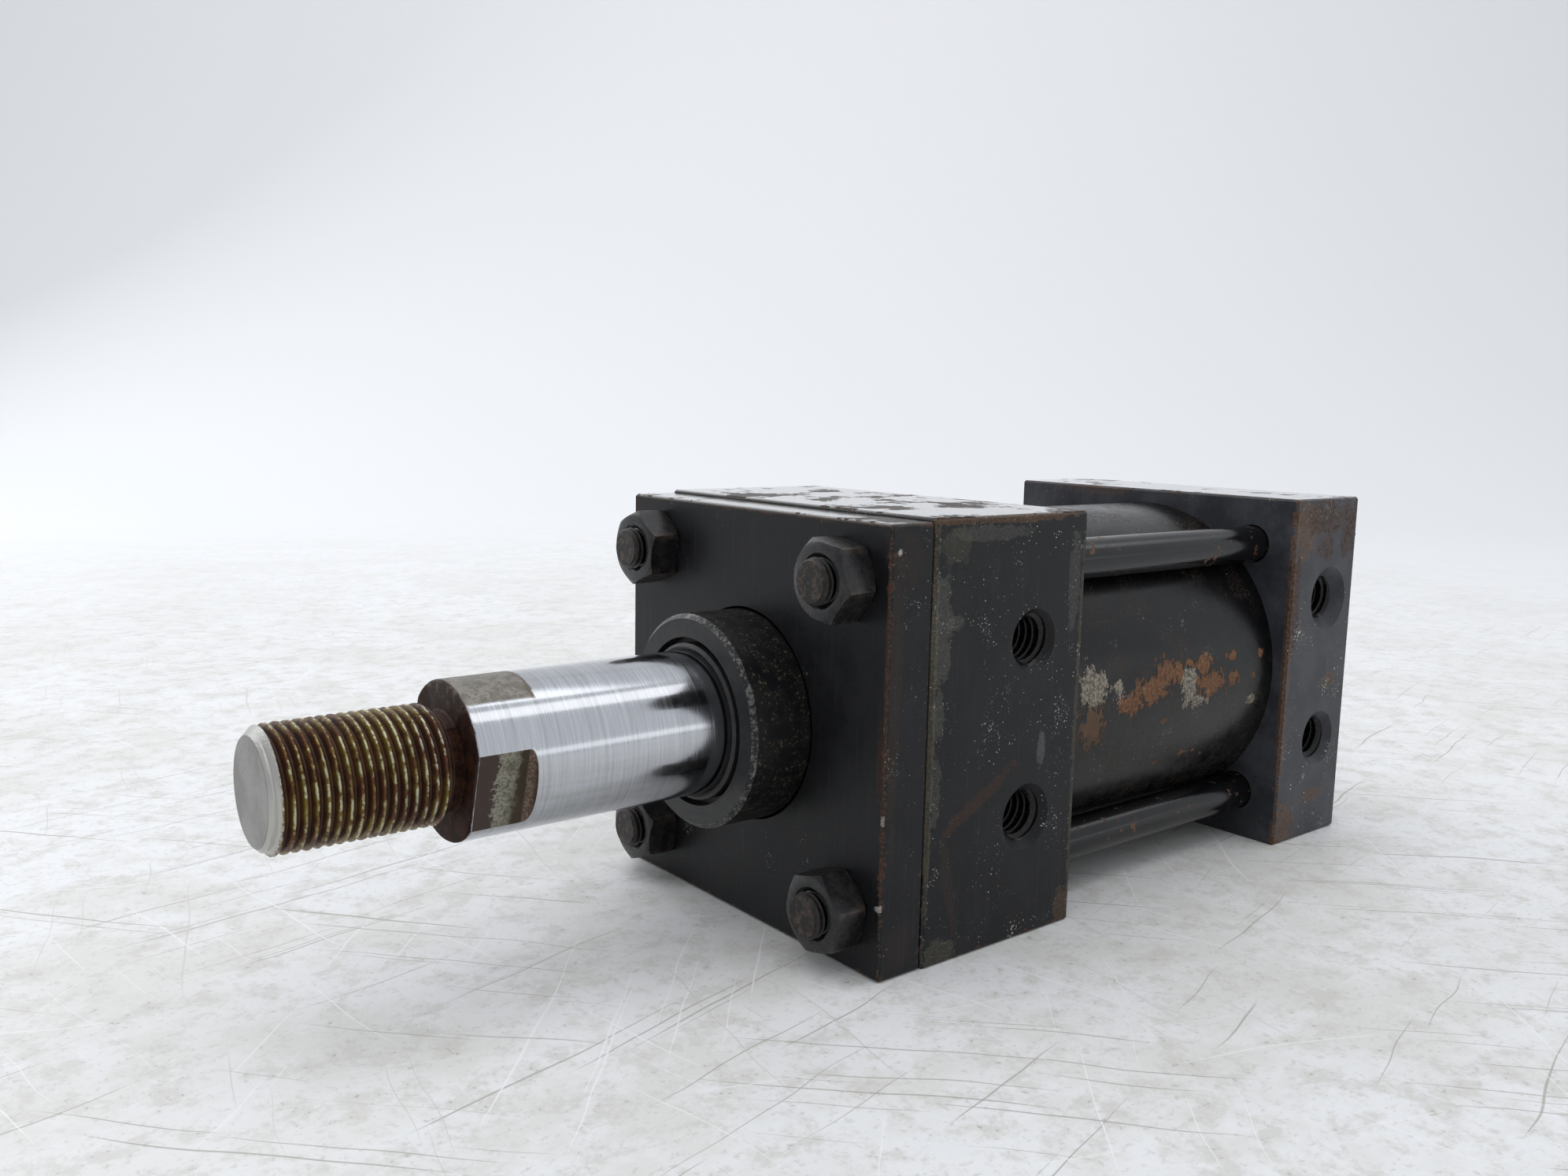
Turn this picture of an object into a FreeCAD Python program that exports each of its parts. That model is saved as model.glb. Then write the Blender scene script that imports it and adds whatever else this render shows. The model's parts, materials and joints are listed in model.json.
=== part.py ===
import FreeCAD, Part
import math
import os

# Tie-rod air cylinder, 2-1/2 inch bore by 1-1/2 inch stroke, lying on one plain side of its
# square ends.  Lengths are millimetres and angles are degrees.
# The origin is on the rod's axis at the retainer plate's front face.  +X points out along
# the rod, +Y out of the side with the tapped mounting holes, and +Z up.

INCH = 25.4

# Driving sizes
BORE = 2.5 * INCH
STROKE = 1.5 * INCH
ROD_DIAMETER = 1.0 * INCH
SQUARE = 3.0 * INCH
PLATE_LENGTH = 0.375 * INCH
HEAD_LENGTH = 1.5 * INCH
CAP_LENGTH = 1.0 * INCH
PISTON_LENGTH = 1.25 * INCH
REST_EXTENSION = 32.6        # how far the rod stands out of its retracted place at rest
STROKE_END_GAP = 0.2         # left between the piston and each end at the stroke's limits

# Square ends
EDGE_CHAMFER = 0.5
PLATE_TOP_STEP = 0.6         # the plate is a little smaller than the head behind it
PLATE_BOTTOM_STEP = 0.1
PLATE_SIDE_STEP = 0.35
PLATE_BORE = 39.0            # stands a little clear of the pilot boss
FLANGE_POCKET = 51.0
FLANGE_LENGTH = 9.525
GLAND_BORE = 36.6
GLAND_BORE_END = 21.275      # from the plate's rear face to the head's air recess
HEAD_RECESS = 44.4
CAP_RECESS = 26.0
CAP_RECESS_DEPTH = 12.5

# Barrel
TUBE_OUTSIDE = 2.75 * INCH
TUBE_SEAT_DEPTH = 3.175
TUBE_SEAT_OUTSIDE = 69.9
TUBE_SEAT_INSIDE = 63.2
GASKET_THICKNESS = 0.8
GASKET_SLACK = 0.1           # radial, each side of a gasket

# Tie rods and their nuts
TIE_ROD_DIAMETER = 0.3125 * INCH
TIE_ROD_SPACING = 2.19 * INCH
TIE_ROD_HOLE = 8.4
TIE_ROD_STAND_OUT = 8.2
TIE_ROD_CHAMFER = 0.6
NUT_ACROSS_FLATS = 0.5 * INCH
NUT_LENGTH = 6.4
NUT_CORNER_CHAMFER = 0.5
NUT_MOUTH_DIAMETER = 9.2
# name: (Y side, Z side, turn of the head-end nut, turn of the cap-end nut)
CORNERS = {
    "upper_mount": (1, 1, 50, 12),
    "upper_port": (-1, 1, 22, 41),
    "lower_port": (-1, -1, 21, 5),
    "lower_mount": (1, -1, 15, 33),
}

# Tapped mounting holes, 3/8-16, and air ports, 3/8 NPT
MOUNT_HOLE_DIAMETER = 0.375 * INCH
MOUNT_HOLE_DEPTH = 15.0
MOUNT_HOLE_SETBACK = 34.3    # from the plate's front face to the head's pair of holes
MOUNT_SPACING_X = 3.875 * INCH
MOUNT_SPACING_Z = 1.25 * INCH
HEAD_COUNTERSINKS = (11.2, 12.0)    # upper hole, lower hole
CAP_COUNTERSINKS = (14.0, 12.5)
DRILL_HALF_ANGLE = 59.0
PORT_DIAMETER = 16.6
PORT_DEPTH = 13.0
PORT_MOUTH = 18.2
PORT_PASSAGE = 5.0
HEAD_PASSAGE_SETBACK = 34.0  # from the plate's front face
CAP_PASSAGE_SETBACK = 8.025  # from the cap's front face

# Rod gland and what it holds
PILOT_DIAMETER = 1.5 * INCH
PILOT_LENGTH = 12.0
PILOT_CHAMFER = 0.8
PILOT_RELIEF = 0.5           # radial, on the stretch inside the retainer plate
GLAND_FLANGE = 50.8
GLAND_BODY = 36.5            # behind the flange
GLAND_REAR = -41.275
WIPER_SEAT = 29.9
WIPER_SEAT_END = 5.5
SEAL_SEAT = 34.0
SEAL_SEAT_FRONT = 3.5
SEAL_SEAT_REAR = -3.5
GLAND_THROAT = 26.0
BUSHING_SEAT = 30.0
BUSHING_FRONT = -7.0
O_RING_SEAT = 32.2
O_RING_SEAT_FRONT = -24.0
O_RING_SEAT_LENGTH = 3.6
O_RING_SECTION = 2.16
ROD_FIT = 0.05               # radial running clearance on the rod
WIPER_LIP = 27.8
WIPER_LIP_STAND_OUT = 0.4
WIPER_BASE_FRONT = 9.5
SEAL_SLACK = 0.2             # axial, at each end of a seal in its groove
SEAL_HEEL = 2.6

# Piston, its rings and its nut
PISTON_DIAMETER = 63.2
RING_FIT = 0.05              # radial running clearance in the tube and on groove floors
RING_GROOVE_FLOOR = 53.2
RING_GROOVE_LENGTH = 5.0
RING_GROOVE_SETBACK = 3.0
BAND_GROOVE_FLOOR = 58.6
BAND_GROOVE_LENGTH = 10.0
SPIGOT_DIAMETER = 0.75 * INCH
SPIGOT_SHORT = 0.4           # the spigot stops this far inside the piston's rear face
PISTON_NUT_POCKET = 37.0
PISTON_NUT_POCKET_DEPTH = 11.5
PISTON_NUT_FLATS = 1.125 * INCH
PISTON_NUT_LENGTH = 10.7
PISTON_O_RING_FLOOR = 23.6
PISTON_O_RING_LENGTH = 3.0
PISTON_O_RING_SETBACK = 2.5

# Rod end
SHOULDER = 58.0              # from the plate's front face at rest
THREAD_DIAMETER = 0.75 * INCH
THREAD_LENGTH = 1.125 * INCH
THREAD_RELIEF_DIAMETER = 15.9
THREAD_RELIEF_LENGTH = 1.6
THREAD_CHAMFER = 1.5
SHOULDER_CHAMFER = 0.5
FLAT_WIDTH = 21.9            # 7/8 in, a little worn
FLAT_LENGTH = 8.6            # at full depth
FLAT_CORNER_RADIUS = 1.2
FLAT_TURN = -15.0            # the first flat's way out, turned from +Y towards +Z at rest

# Places along the X axis
PLATE_REAR = -PLATE_LENGTH
HEAD_REAR = PLATE_REAR - HEAD_LENGTH
CAP_FRONT = HEAD_REAR - STROKE - PISTON_LENGTH
CAP_REAR = CAP_FRONT - CAP_LENGTH
PISTON_FRONT = HEAD_REAR - STROKE_END_GAP - (STROKE - REST_EXTENSION)
PISTON_REAR = PISTON_FRONT - PISTON_LENGTH + 2 * STROKE_END_GAP
HEAD_SEAT_FLOOR = HEAD_REAR + TUBE_SEAT_DEPTH
CAP_SEAT_FLOOR = CAP_FRONT - TUBE_SEAT_DEPTH
HEAD_HOLES_X = -MOUNT_HOLE_SETBACK
CAP_HOLES_X = HEAD_HOLES_X - MOUNT_SPACING_X
HEAD_PORT_X = (PLATE_REAR + HEAD_REAR) / 2
CAP_PORT_X = (CAP_FRONT + CAP_REAR) / 2

HALF = SQUARE / 2
MARGIN = 1.0                 # how far a cutting solid runs past the face that it opens
AXIS = FreeCAD.Vector(1, 0, 0)
ORIGIN = FreeCAD.Vector(0, 0, 0)


def rod_x(diameter, x_low, x_high, y=0.0, z=0.0):
    """A solid round bar along X."""
    start = FreeCAD.Vector(x_low, y, z)
    return Part.makeCylinder(diameter / 2, x_high - x_low, start, AXIS)


def ring_x(outside, inside, x_low, x_high):
    """A plain ring about the X axis."""
    return rod_x(outside, x_low, x_high).cut(rod_x(inside, x_low - MARGIN, x_high + MARGIN))


def turned(profile):
    """The solid swept about the X axis by a closed outline of (x, diameter) points."""
    points = [FreeCAD.Vector(x, 0, diameter / 2) for x, diameter in profile]
    outline = Part.makePolygon(points + points[:1])
    return Part.Face(outline).revolve(ORIGIN, AXIS, 360)


def torus_x(x, middle_diameter, section):
    """An O-ring about the X axis."""
    return Part.makeTorus(middle_diameter / 2, section / 2, FreeCAD.Vector(x, 0, 0), AXIS)


def block(x_low, x_high, y_half, z_low, z_high):
    """A rectangular block with every edge chamfered."""
    corner = FreeCAD.Vector(x_low, -y_half, z_low)
    body = Part.makeBox(x_high - x_low, 2 * y_half, z_high - z_low, corner)
    return body.makeChamfer(EDGE_CHAMFER, body.Edges)


def corner_places():
    """The (y, z) centres of the four tie rods."""
    half = TIE_ROD_SPACING / 2
    return [(y_side * half, z_side * half) for y_side, z_side, _, _ in CORNERS.values()]


def tie_rod_holes(x_low, x_high):
    """The four clearance holes through one square end."""
    holes = [
        rod_x(TIE_ROD_HOLE, x_low - MARGIN, x_high + MARGIN, y, z) for y, z in corner_places()
    ]
    return holes[0].fuse(holes[1:])


def sunk_hole(x, z, side, diameter, depth, mouth, pointed):
    """A blind hole drilled along Y from the side at side * HALF, with a 45 degree mouth."""
    inward = FreeCAD.Vector(0, -side, 0)
    face = FreeCAD.Vector(x, side * HALF, z)
    radius = diameter / 2
    sink = mouth / 2 - radius
    hole = Part.makeCylinder(radius, depth + MARGIN, face - inward * MARGIN, inward)
    funnel = Part.makeCone(mouth / 2 + MARGIN, radius, sink + MARGIN, face - inward * MARGIN, inward)
    hole = hole.fuse(funnel)
    if pointed:
        tip = radius / math.tan(math.radians(DRILL_HALF_ANGLE))
        hole = hole.fuse(Part.makeCone(radius, 0, tip, face + inward * depth, inward))
    return hole


def mounting_holes(x, mouths):
    """One end's pair of tapped mounting holes, with the mouths of the upper and the lower one."""
    pair = [
        sunk_hole(x, side * MOUNT_SPACING_Z / 2, 1, MOUNT_HOLE_DIAMETER, MOUNT_HOLE_DEPTH, mouth, True)
        for side, mouth in zip((1, -1), mouths)
    ]
    return pair[0].fuse(pair[1])


def air_port(x, passage_x, recess_diameter):
    """A port on the side opposite the mounting holes, with its passage to the end's recess."""
    port = sunk_hole(x, 0, -1, PORT_DIAMETER, PORT_DEPTH, PORT_MOUTH, False)
    start = FreeCAD.Vector(passage_x, -HALF + PORT_DEPTH - MARGIN, 0)
    reach = HALF - PORT_DEPTH + 2 * MARGIN - recess_diameter / 2
    passage = Part.makeCylinder(PORT_PASSAGE / 2, reach, start, FreeCAD.Vector(0, 1, 0))
    return port.fuse(passage)


def tube_seat(x_low, x_high):
    """The annular groove that a tube end stands in."""
    return ring_x(TUBE_SEAT_OUTSIDE, TUBE_SEAT_INSIDE, x_low, x_high)


def retainer_plate():
    plate = block(
        PLATE_REAR, 0, HALF - PLATE_SIDE_STEP, PLATE_BOTTOM_STEP - HALF, HALF - PLATE_TOP_STEP
    )
    plate = plate.cut(rod_x(PLATE_BORE, PLATE_REAR - MARGIN, MARGIN))
    return plate.cut(tie_rod_holes(PLATE_REAR, 0))


def front_head():
    head = block(HEAD_REAR, PLATE_REAR, HALF, -HALF, HALF)
    pocket_floor = PLATE_REAR - FLANGE_LENGTH
    recess_front = PLATE_REAR - GLAND_BORE_END
    head = head.cut(rod_x(FLANGE_POCKET, pocket_floor, PLATE_REAR + MARGIN))
    head = head.cut(rod_x(GLAND_BORE, recess_front - MARGIN, pocket_floor + MARGIN))
    head = head.cut(rod_x(HEAD_RECESS, HEAD_REAR - MARGIN, recess_front))
    head = head.cut(tube_seat(HEAD_REAR - MARGIN, HEAD_SEAT_FLOOR))
    head = head.cut(tie_rod_holes(HEAD_REAR, PLATE_REAR))
    head = head.cut(air_port(HEAD_PORT_X, -HEAD_PASSAGE_SETBACK, HEAD_RECESS))
    return head.cut(mounting_holes(HEAD_HOLES_X, HEAD_COUNTERSINKS))


def rear_cap():
    cap = block(CAP_REAR, CAP_FRONT, HALF, -HALF, HALF)
    cap = cap.cut(rod_x(CAP_RECESS, CAP_FRONT - CAP_RECESS_DEPTH, CAP_FRONT + MARGIN))
    cap = cap.cut(tube_seat(CAP_SEAT_FLOOR, CAP_FRONT + MARGIN))
    cap = cap.cut(tie_rod_holes(CAP_REAR, CAP_FRONT))
    cap = cap.cut(air_port(CAP_PORT_X, CAP_FRONT - CAP_PASSAGE_SETBACK, CAP_RECESS))
    return cap.cut(mounting_holes(CAP_HOLES_X, CAP_COUNTERSINKS))


def rod_gland():
    """The cartridge that guides and seals the rod, held by its flange under the plate."""
    chamfered = PILOT_DIAMETER - 2 * PILOT_CHAMFER
    relieved = PILOT_DIAMETER - 2 * PILOT_RELIEF
    flange_rear = PLATE_REAR - FLANGE_LENGTH
    groove_rear = O_RING_SEAT_FRONT - O_RING_SEAT_LENGTH
    return turned([
        (PILOT_LENGTH, WIPER_SEAT),
        (PILOT_LENGTH, chamfered),
        (PILOT_LENGTH - PILOT_CHAMFER, PILOT_DIAMETER),
        (0, PILOT_DIAMETER),
        (0, relieved),
        (PLATE_REAR, relieved),
        (PLATE_REAR, GLAND_FLANGE),
        (flange_rear, GLAND_FLANGE),
        (flange_rear, GLAND_BODY),
        (O_RING_SEAT_FRONT, GLAND_BODY),
        (O_RING_SEAT_FRONT, O_RING_SEAT),
        (groove_rear, O_RING_SEAT),
        (groove_rear, GLAND_BODY),
        (GLAND_REAR, GLAND_BODY),
        (GLAND_REAR, BUSHING_SEAT),
        (BUSHING_FRONT, BUSHING_SEAT),
        (BUSHING_FRONT, GLAND_THROAT),
        (SEAL_SEAT_REAR, GLAND_THROAT),
        (SEAL_SEAT_REAR, SEAL_SEAT),
        (SEAL_SEAT_FRONT, SEAL_SEAT),
        (SEAL_SEAT_FRONT, GLAND_THROAT),
        (WIPER_SEAT_END, GLAND_THROAT),
        (WIPER_SEAT_END, WIPER_SEAT),
    ])


def rod_bushing():
    return ring_x(BUSHING_SEAT, ROD_DIAMETER + 2 * ROD_FIT, GLAND_REAR, BUSHING_FRONT)


def rod_wiper():
    """A ring that fills its seat, with a slimmer lip standing just out of the boss."""
    inside = ROD_DIAMETER + 2 * ROD_FIT
    lip_front = PILOT_LENGTH + WIPER_LIP_STAND_OUT
    lip_edge = (inside + WIPER_LIP) / 2
    return turned([
        (WIPER_SEAT_END, inside),
        (WIPER_SEAT_END, WIPER_SEAT),
        (WIPER_BASE_FRONT, WIPER_SEAT),
        (WIPER_BASE_FRONT, WIPER_LIP),
        (PILOT_LENGTH, WIPER_LIP),
        (lip_front, lip_edge),
        (PILOT_LENGTH, inside),
    ])


def lip_seal(x_heel, x_lips, inside, outside):
    """A U-cup ring: a solid heel, and two lips that open towards x_lips."""
    middle = (inside + outside) / 2
    groove = x_heel + math.copysign(SEAL_HEEL, x_lips - x_heel)
    quarter = (outside - inside) / 4
    return turned([
        (x_heel, inside),
        (x_lips, inside),
        (x_lips, middle - quarter),
        (groove, middle),
        (x_lips, middle + quarter),
        (x_lips, outside),
        (x_heel, outside),
    ])


def rod_seal():
    return lip_seal(
        SEAL_SEAT_FRONT - SEAL_SLACK,
        SEAL_SEAT_REAR + SEAL_SLACK,
        ROD_DIAMETER + 2 * ROD_FIT,
        SEAL_SEAT - 2 * ROD_FIT,
    )


def gland_o_ring():
    x = O_RING_SEAT_FRONT - O_RING_SEAT_LENGTH / 2
    return torus_x(x, O_RING_SEAT + O_RING_SECTION, O_RING_SECTION)


def cylinder_tube():
    return ring_x(
        TUBE_OUTSIDE, BORE, CAP_SEAT_FLOOR + GASKET_THICKNESS, HEAD_SEAT_FLOOR - GASKET_THICKNESS
    )


def tube_gasket(x_low):
    """A flat ring in the floor of a tube seat."""
    outside = TUBE_SEAT_OUTSIDE - 2 * GASKET_SLACK
    inside = TUBE_SEAT_INSIDE + 2 * GASKET_SLACK
    return ring_x(outside, inside, x_low, x_low + GASKET_THICKNESS)


def tie_rod(y, z):
    low = CAP_REAR - TIE_ROD_STAND_OUT
    high = TIE_ROD_STAND_OUT
    slim = TIE_ROD_DIAMETER - 2 * TIE_ROD_CHAMFER
    bar = turned([
        (low, 0),
        (low, slim),
        (low + TIE_ROD_CHAMFER, TIE_ROD_DIAMETER),
        (high - TIE_ROD_CHAMFER, TIE_ROD_DIAMETER),
        (high, slim),
        (high, 0),
    ])
    bar.translate(FreeCAD.Vector(0, y, z))
    return bar


def hex_bar(across_flats, x_low, x_high, turn):
    """A hexagonal bar along X, its first corner turned from +Y towards +Z."""
    corner_radius = across_flats / math.sqrt(3)
    angles = [math.radians(turn + 60 * corner) for corner in range(7)]
    points = [
        FreeCAD.Vector(x_low, corner_radius * math.cos(a), corner_radius * math.sin(a))
        for a in angles
    ]
    return Part.Face(Part.makePolygon(points)).extrude(FreeCAD.Vector(x_high - x_low, 0, 0))


def hex_nut(across_flats, bore, mouth, x_low, x_high, turn):
    """A hex nut with its corners turned off at both ends and its bore's mouths sunk."""
    flats = across_flats
    corners = 2 * across_flats / math.sqrt(3)
    sink = (mouth - bore) / 2
    envelope = turned([
        (x_low, bore),
        (x_low, flats),
        (x_low + NUT_CORNER_CHAMFER, corners),
        (x_high - NUT_CORNER_CHAMFER, corners),
        (x_high, flats),
        (x_high, mouth),
        (x_high - sink, bore),
    ])
    return hex_bar(across_flats, x_low, x_high, turn).common(envelope)


def tie_rod_nut(x_low, y, z, turn):
    nut = hex_nut(
        NUT_ACROSS_FLATS, TIE_ROD_DIAMETER, NUT_MOUTH_DIAMETER, x_low, x_low + NUT_LENGTH, turn
    )
    nut.translate(FreeCAD.Vector(0, y, z))
    return nut


def cap_end_nut(y, z, turn):
    """A nut on the cap's rear face: a head-end nut turned end for end."""
    nut = tie_rod_nut(0, 0, 0, -turn)
    nut.rotate(ORIGIN, FreeCAD.Vector(0, 0, 1), 180)
    nut.translate(FreeCAD.Vector(CAP_REAR, y, z))
    return nut


def rod_flats():
    """What a side cutter takes off the rod for its two wrench flats."""
    floor = FLAT_WIDTH / 2
    top = ROD_DIAMETER / 2 + MARGIN
    start = SHOULDER - FLAT_LENGTH
    wall = start - FLAT_CORNER_RADIUS
    arc_centre = floor + FLAT_CORNER_RADIUS
    diagonal = FLAT_CORNER_RADIUS * math.sqrt(0.5)
    y = -ROD_DIAMETER / 2
    corner = Part.Arc(
        FreeCAD.Vector(start, y, floor),
        FreeCAD.Vector(start - diagonal, y, arc_centre - diagonal),
        FreeCAD.Vector(wall, y, arc_centre),
    )
    rest = Part.makePolygon([
        FreeCAD.Vector(wall, y, arc_centre),
        FreeCAD.Vector(wall, y, top),
        FreeCAD.Vector(SHOULDER + MARGIN, y, top),
        FreeCAD.Vector(SHOULDER + MARGIN, y, floor),
        FreeCAD.Vector(start, y, floor),
    ])
    section = Part.Face(Part.Wire([corner.toShape()] + rest.Edges))
    cutter = section.extrude(FreeCAD.Vector(0, ROD_DIAMETER, 0))
    cutter.rotate(ORIGIN, AXIS, FLAT_TURN - 90)
    opposite = cutter.copy()
    opposite.rotate(ORIGIN, AXIS, 180)
    return cutter.fuse(opposite)


def piston_rod():
    """One bar: a spigot for the piston, the ground rod, its two flats, and the threaded end."""
    thread_start = SHOULDER + THREAD_RELIEF_LENGTH
    tip = SHOULDER + THREAD_LENGTH
    bar = turned([
        (PISTON_REAR + SPIGOT_SHORT, 0),
        (PISTON_REAR + SPIGOT_SHORT, SPIGOT_DIAMETER),
        (PISTON_FRONT, SPIGOT_DIAMETER),
        (PISTON_FRONT, ROD_DIAMETER),
        (SHOULDER - SHOULDER_CHAMFER, ROD_DIAMETER),
        (SHOULDER, ROD_DIAMETER - 2 * SHOULDER_CHAMFER),
        (SHOULDER, THREAD_RELIEF_DIAMETER),
        (thread_start, THREAD_RELIEF_DIAMETER),
        (thread_start, THREAD_DIAMETER),
        (tip - THREAD_CHAMFER, THREAD_DIAMETER),
        (tip, THREAD_DIAMETER - 2 * THREAD_CHAMFER),
        (tip, 0),
    ])
    return bar.cut(rod_flats())


def ring_grooves():
    """(low X, high X) of the front seal's, the wear band's and the rear seal's grooves."""
    middle = (PISTON_FRONT + PISTON_REAR) / 2
    front_high = PISTON_FRONT - RING_GROOVE_SETBACK
    rear_low = PISTON_REAR + RING_GROOVE_SETBACK
    return (
        (front_high - RING_GROOVE_LENGTH, front_high),
        (middle - BAND_GROOVE_LENGTH / 2, middle + BAND_GROOVE_LENGTH / 2),
        (rear_low, rear_low + RING_GROOVE_LENGTH),
    )


def piston():
    """A disc on the rod's spigot, grooved for its rings and pocketed for its nut."""
    disc = ring_x(PISTON_DIAMETER, SPIGOT_DIAMETER, PISTON_REAR, PISTON_FRONT)
    floors = (RING_GROOVE_FLOOR, BAND_GROOVE_FLOOR, RING_GROOVE_FLOOR)
    for floor, (x_low, x_high) in zip(floors, ring_grooves()):
        disc = disc.cut(ring_x(PISTON_DIAMETER + 2 * MARGIN, floor, x_low, x_high))
    nut_seat = PISTON_REAR + PISTON_NUT_POCKET_DEPTH
    disc = disc.cut(rod_x(PISTON_NUT_POCKET, PISTON_REAR - MARGIN, nut_seat))
    o_ring_high = PISTON_FRONT - PISTON_O_RING_SETBACK
    return disc.cut(
        rod_x(PISTON_O_RING_FLOOR, o_ring_high - PISTON_O_RING_LENGTH, o_ring_high)
    )


def piston_o_ring():
    x = PISTON_FRONT - PISTON_O_RING_SETBACK - PISTON_O_RING_LENGTH / 2
    middle = (SPIGOT_DIAMETER + PISTON_O_RING_FLOOR) / 2
    return torus_x(x, middle, (PISTON_O_RING_FLOOR - SPIGOT_DIAMETER) / 2)


def piston_nut():
    seat = PISTON_REAR + PISTON_NUT_POCKET_DEPTH
    bore = SPIGOT_DIAMETER
    return hex_nut(PISTON_NUT_FLATS, bore, bore + MARGIN, seat - PISTON_NUT_LENGTH, seat, 0)


def piston_rings():
    """The two lip seals and the wear band between them, running in the tube."""
    outside = BORE - 2 * RING_FIT
    front, band, rear = ring_grooves()
    seal_inside = RING_GROOVE_FLOOR + 2 * RING_FIT
    band_inside = BAND_GROOVE_FLOOR + 2 * RING_FIT
    return {
        "piston_seal_front": lip_seal(
            front[0] + SEAL_SLACK, front[1] - SEAL_SLACK, seal_inside, outside
        ),
        "piston_wear_band": ring_x(
            outside, band_inside, band[0] + SEAL_SLACK, band[1] - SEAL_SLACK
        ),
        "piston_seal_rear": lip_seal(
            rear[1] - SEAL_SLACK, rear[0] + SEAL_SLACK, seal_inside, outside
        ),
    }


def tie_rod_sets():
    """Each corner's tie rod with its two nuts."""
    pieces = {}
    for (name, turns), (y, z) in zip(CORNERS.items(), corner_places()):
        pieces["tie_rod_" + name] = tie_rod(y, z)
        pieces["head_nut_" + name] = tie_rod_nut(0, y, z, turns[2])
        pieces["cap_nut_" + name] = cap_end_nut(y, z, turns[3])
    return pieces


def all_parts():
    parts = {
        "retainer_plate": retainer_plate(),
        "front_head": front_head(),
        "rear_cap": rear_cap(),
        "rod_gland": rod_gland(),
        "rod_bushing": rod_bushing(),
        "rod_wiper": rod_wiper(),
        "rod_seal": rod_seal(),
        "gland_o_ring": gland_o_ring(),
        "cylinder_tube": cylinder_tube(),
        "head_tube_gasket": tube_gasket(HEAD_SEAT_FLOOR - GASKET_THICKNESS),
        "cap_tube_gasket": tube_gasket(CAP_SEAT_FLOOR),
        "piston_rod": piston_rod(),
        "piston": piston(),
        "piston_o_ring": piston_o_ring(),
        "piston_nut": piston_nut(),
    }
    parts.update(piston_rings())
    parts.update(tie_rod_sets())
    return parts


os.makedirs("parts", exist_ok=True)
for node, shape in all_parts().items():
    solid = shape.Solids[0]
    if len(shape.Solids) != 1 or not solid.isValid():
        raise RuntimeError(node + " is not one valid solid")
    solid.exportStep(os.path.join("parts", node + ".step"))
    print(node, round(solid.Volume, 1))
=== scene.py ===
import json
import math

import bmesh
import bpy
import numpy as np
from mathutils import Euler, Matrix, Vector


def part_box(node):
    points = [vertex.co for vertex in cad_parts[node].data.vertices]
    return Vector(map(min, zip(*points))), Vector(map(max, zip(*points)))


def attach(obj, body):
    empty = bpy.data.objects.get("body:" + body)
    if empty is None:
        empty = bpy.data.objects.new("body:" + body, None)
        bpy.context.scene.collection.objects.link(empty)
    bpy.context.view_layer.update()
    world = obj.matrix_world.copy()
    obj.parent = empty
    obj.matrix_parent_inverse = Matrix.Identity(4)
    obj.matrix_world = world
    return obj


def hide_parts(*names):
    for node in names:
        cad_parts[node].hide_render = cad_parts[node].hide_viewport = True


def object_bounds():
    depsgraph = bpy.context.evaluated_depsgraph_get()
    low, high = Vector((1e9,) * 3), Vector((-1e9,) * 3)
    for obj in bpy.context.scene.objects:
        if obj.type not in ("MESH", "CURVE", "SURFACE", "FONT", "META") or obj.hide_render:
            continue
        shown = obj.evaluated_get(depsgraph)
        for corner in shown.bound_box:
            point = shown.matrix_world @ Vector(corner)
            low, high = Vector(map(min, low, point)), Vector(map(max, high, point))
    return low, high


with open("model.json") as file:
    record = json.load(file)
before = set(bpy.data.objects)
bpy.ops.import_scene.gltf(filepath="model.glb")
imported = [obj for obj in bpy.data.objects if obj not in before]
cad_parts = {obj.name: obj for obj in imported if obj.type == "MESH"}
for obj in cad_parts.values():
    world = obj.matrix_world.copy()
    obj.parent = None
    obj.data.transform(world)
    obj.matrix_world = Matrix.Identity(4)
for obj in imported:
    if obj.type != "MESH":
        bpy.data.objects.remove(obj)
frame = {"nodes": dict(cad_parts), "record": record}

# The looks of a tie-rod air cylinder.  Meshes and shader coordinates are worked out in
# millimetres in the CAD frame, and MM turns them into Blender's metres.

cad_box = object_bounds()
NODES = frame["nodes"]
MOUNTS = {m["name"]: m for m in frame["record"]["mounts"]}
MM = 0.001
TAU = 2 * math.pi
INCH = 25.4
THREAD_LENGTH = 28.575
# How far each tie rod's axis is from the cylinder's own, along Y and along Z
TIE_ROD_OUT = 27.813


def node_box(name):
    """A CAD node's lowest and highest corners in millimetres."""
    low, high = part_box(name)
    return np.array(low) / MM, np.array(high) / MM


# ---------------------------------------------------------------- meshes

# Points nearer than this are one point, in metres
SAME_POINT = 2e-7


def new_object(name, data):
    made = bpy.data.objects.new(name, data)
    bpy.context.scene.collection.objects.link(made)
    return made


def smooth_piece(name, mesh, material):
    mesh.polygons.foreach_set("use_smooth", [True] * len(mesh.polygons))
    mesh.materials.append(material)
    return new_object(name, mesh)


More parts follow.
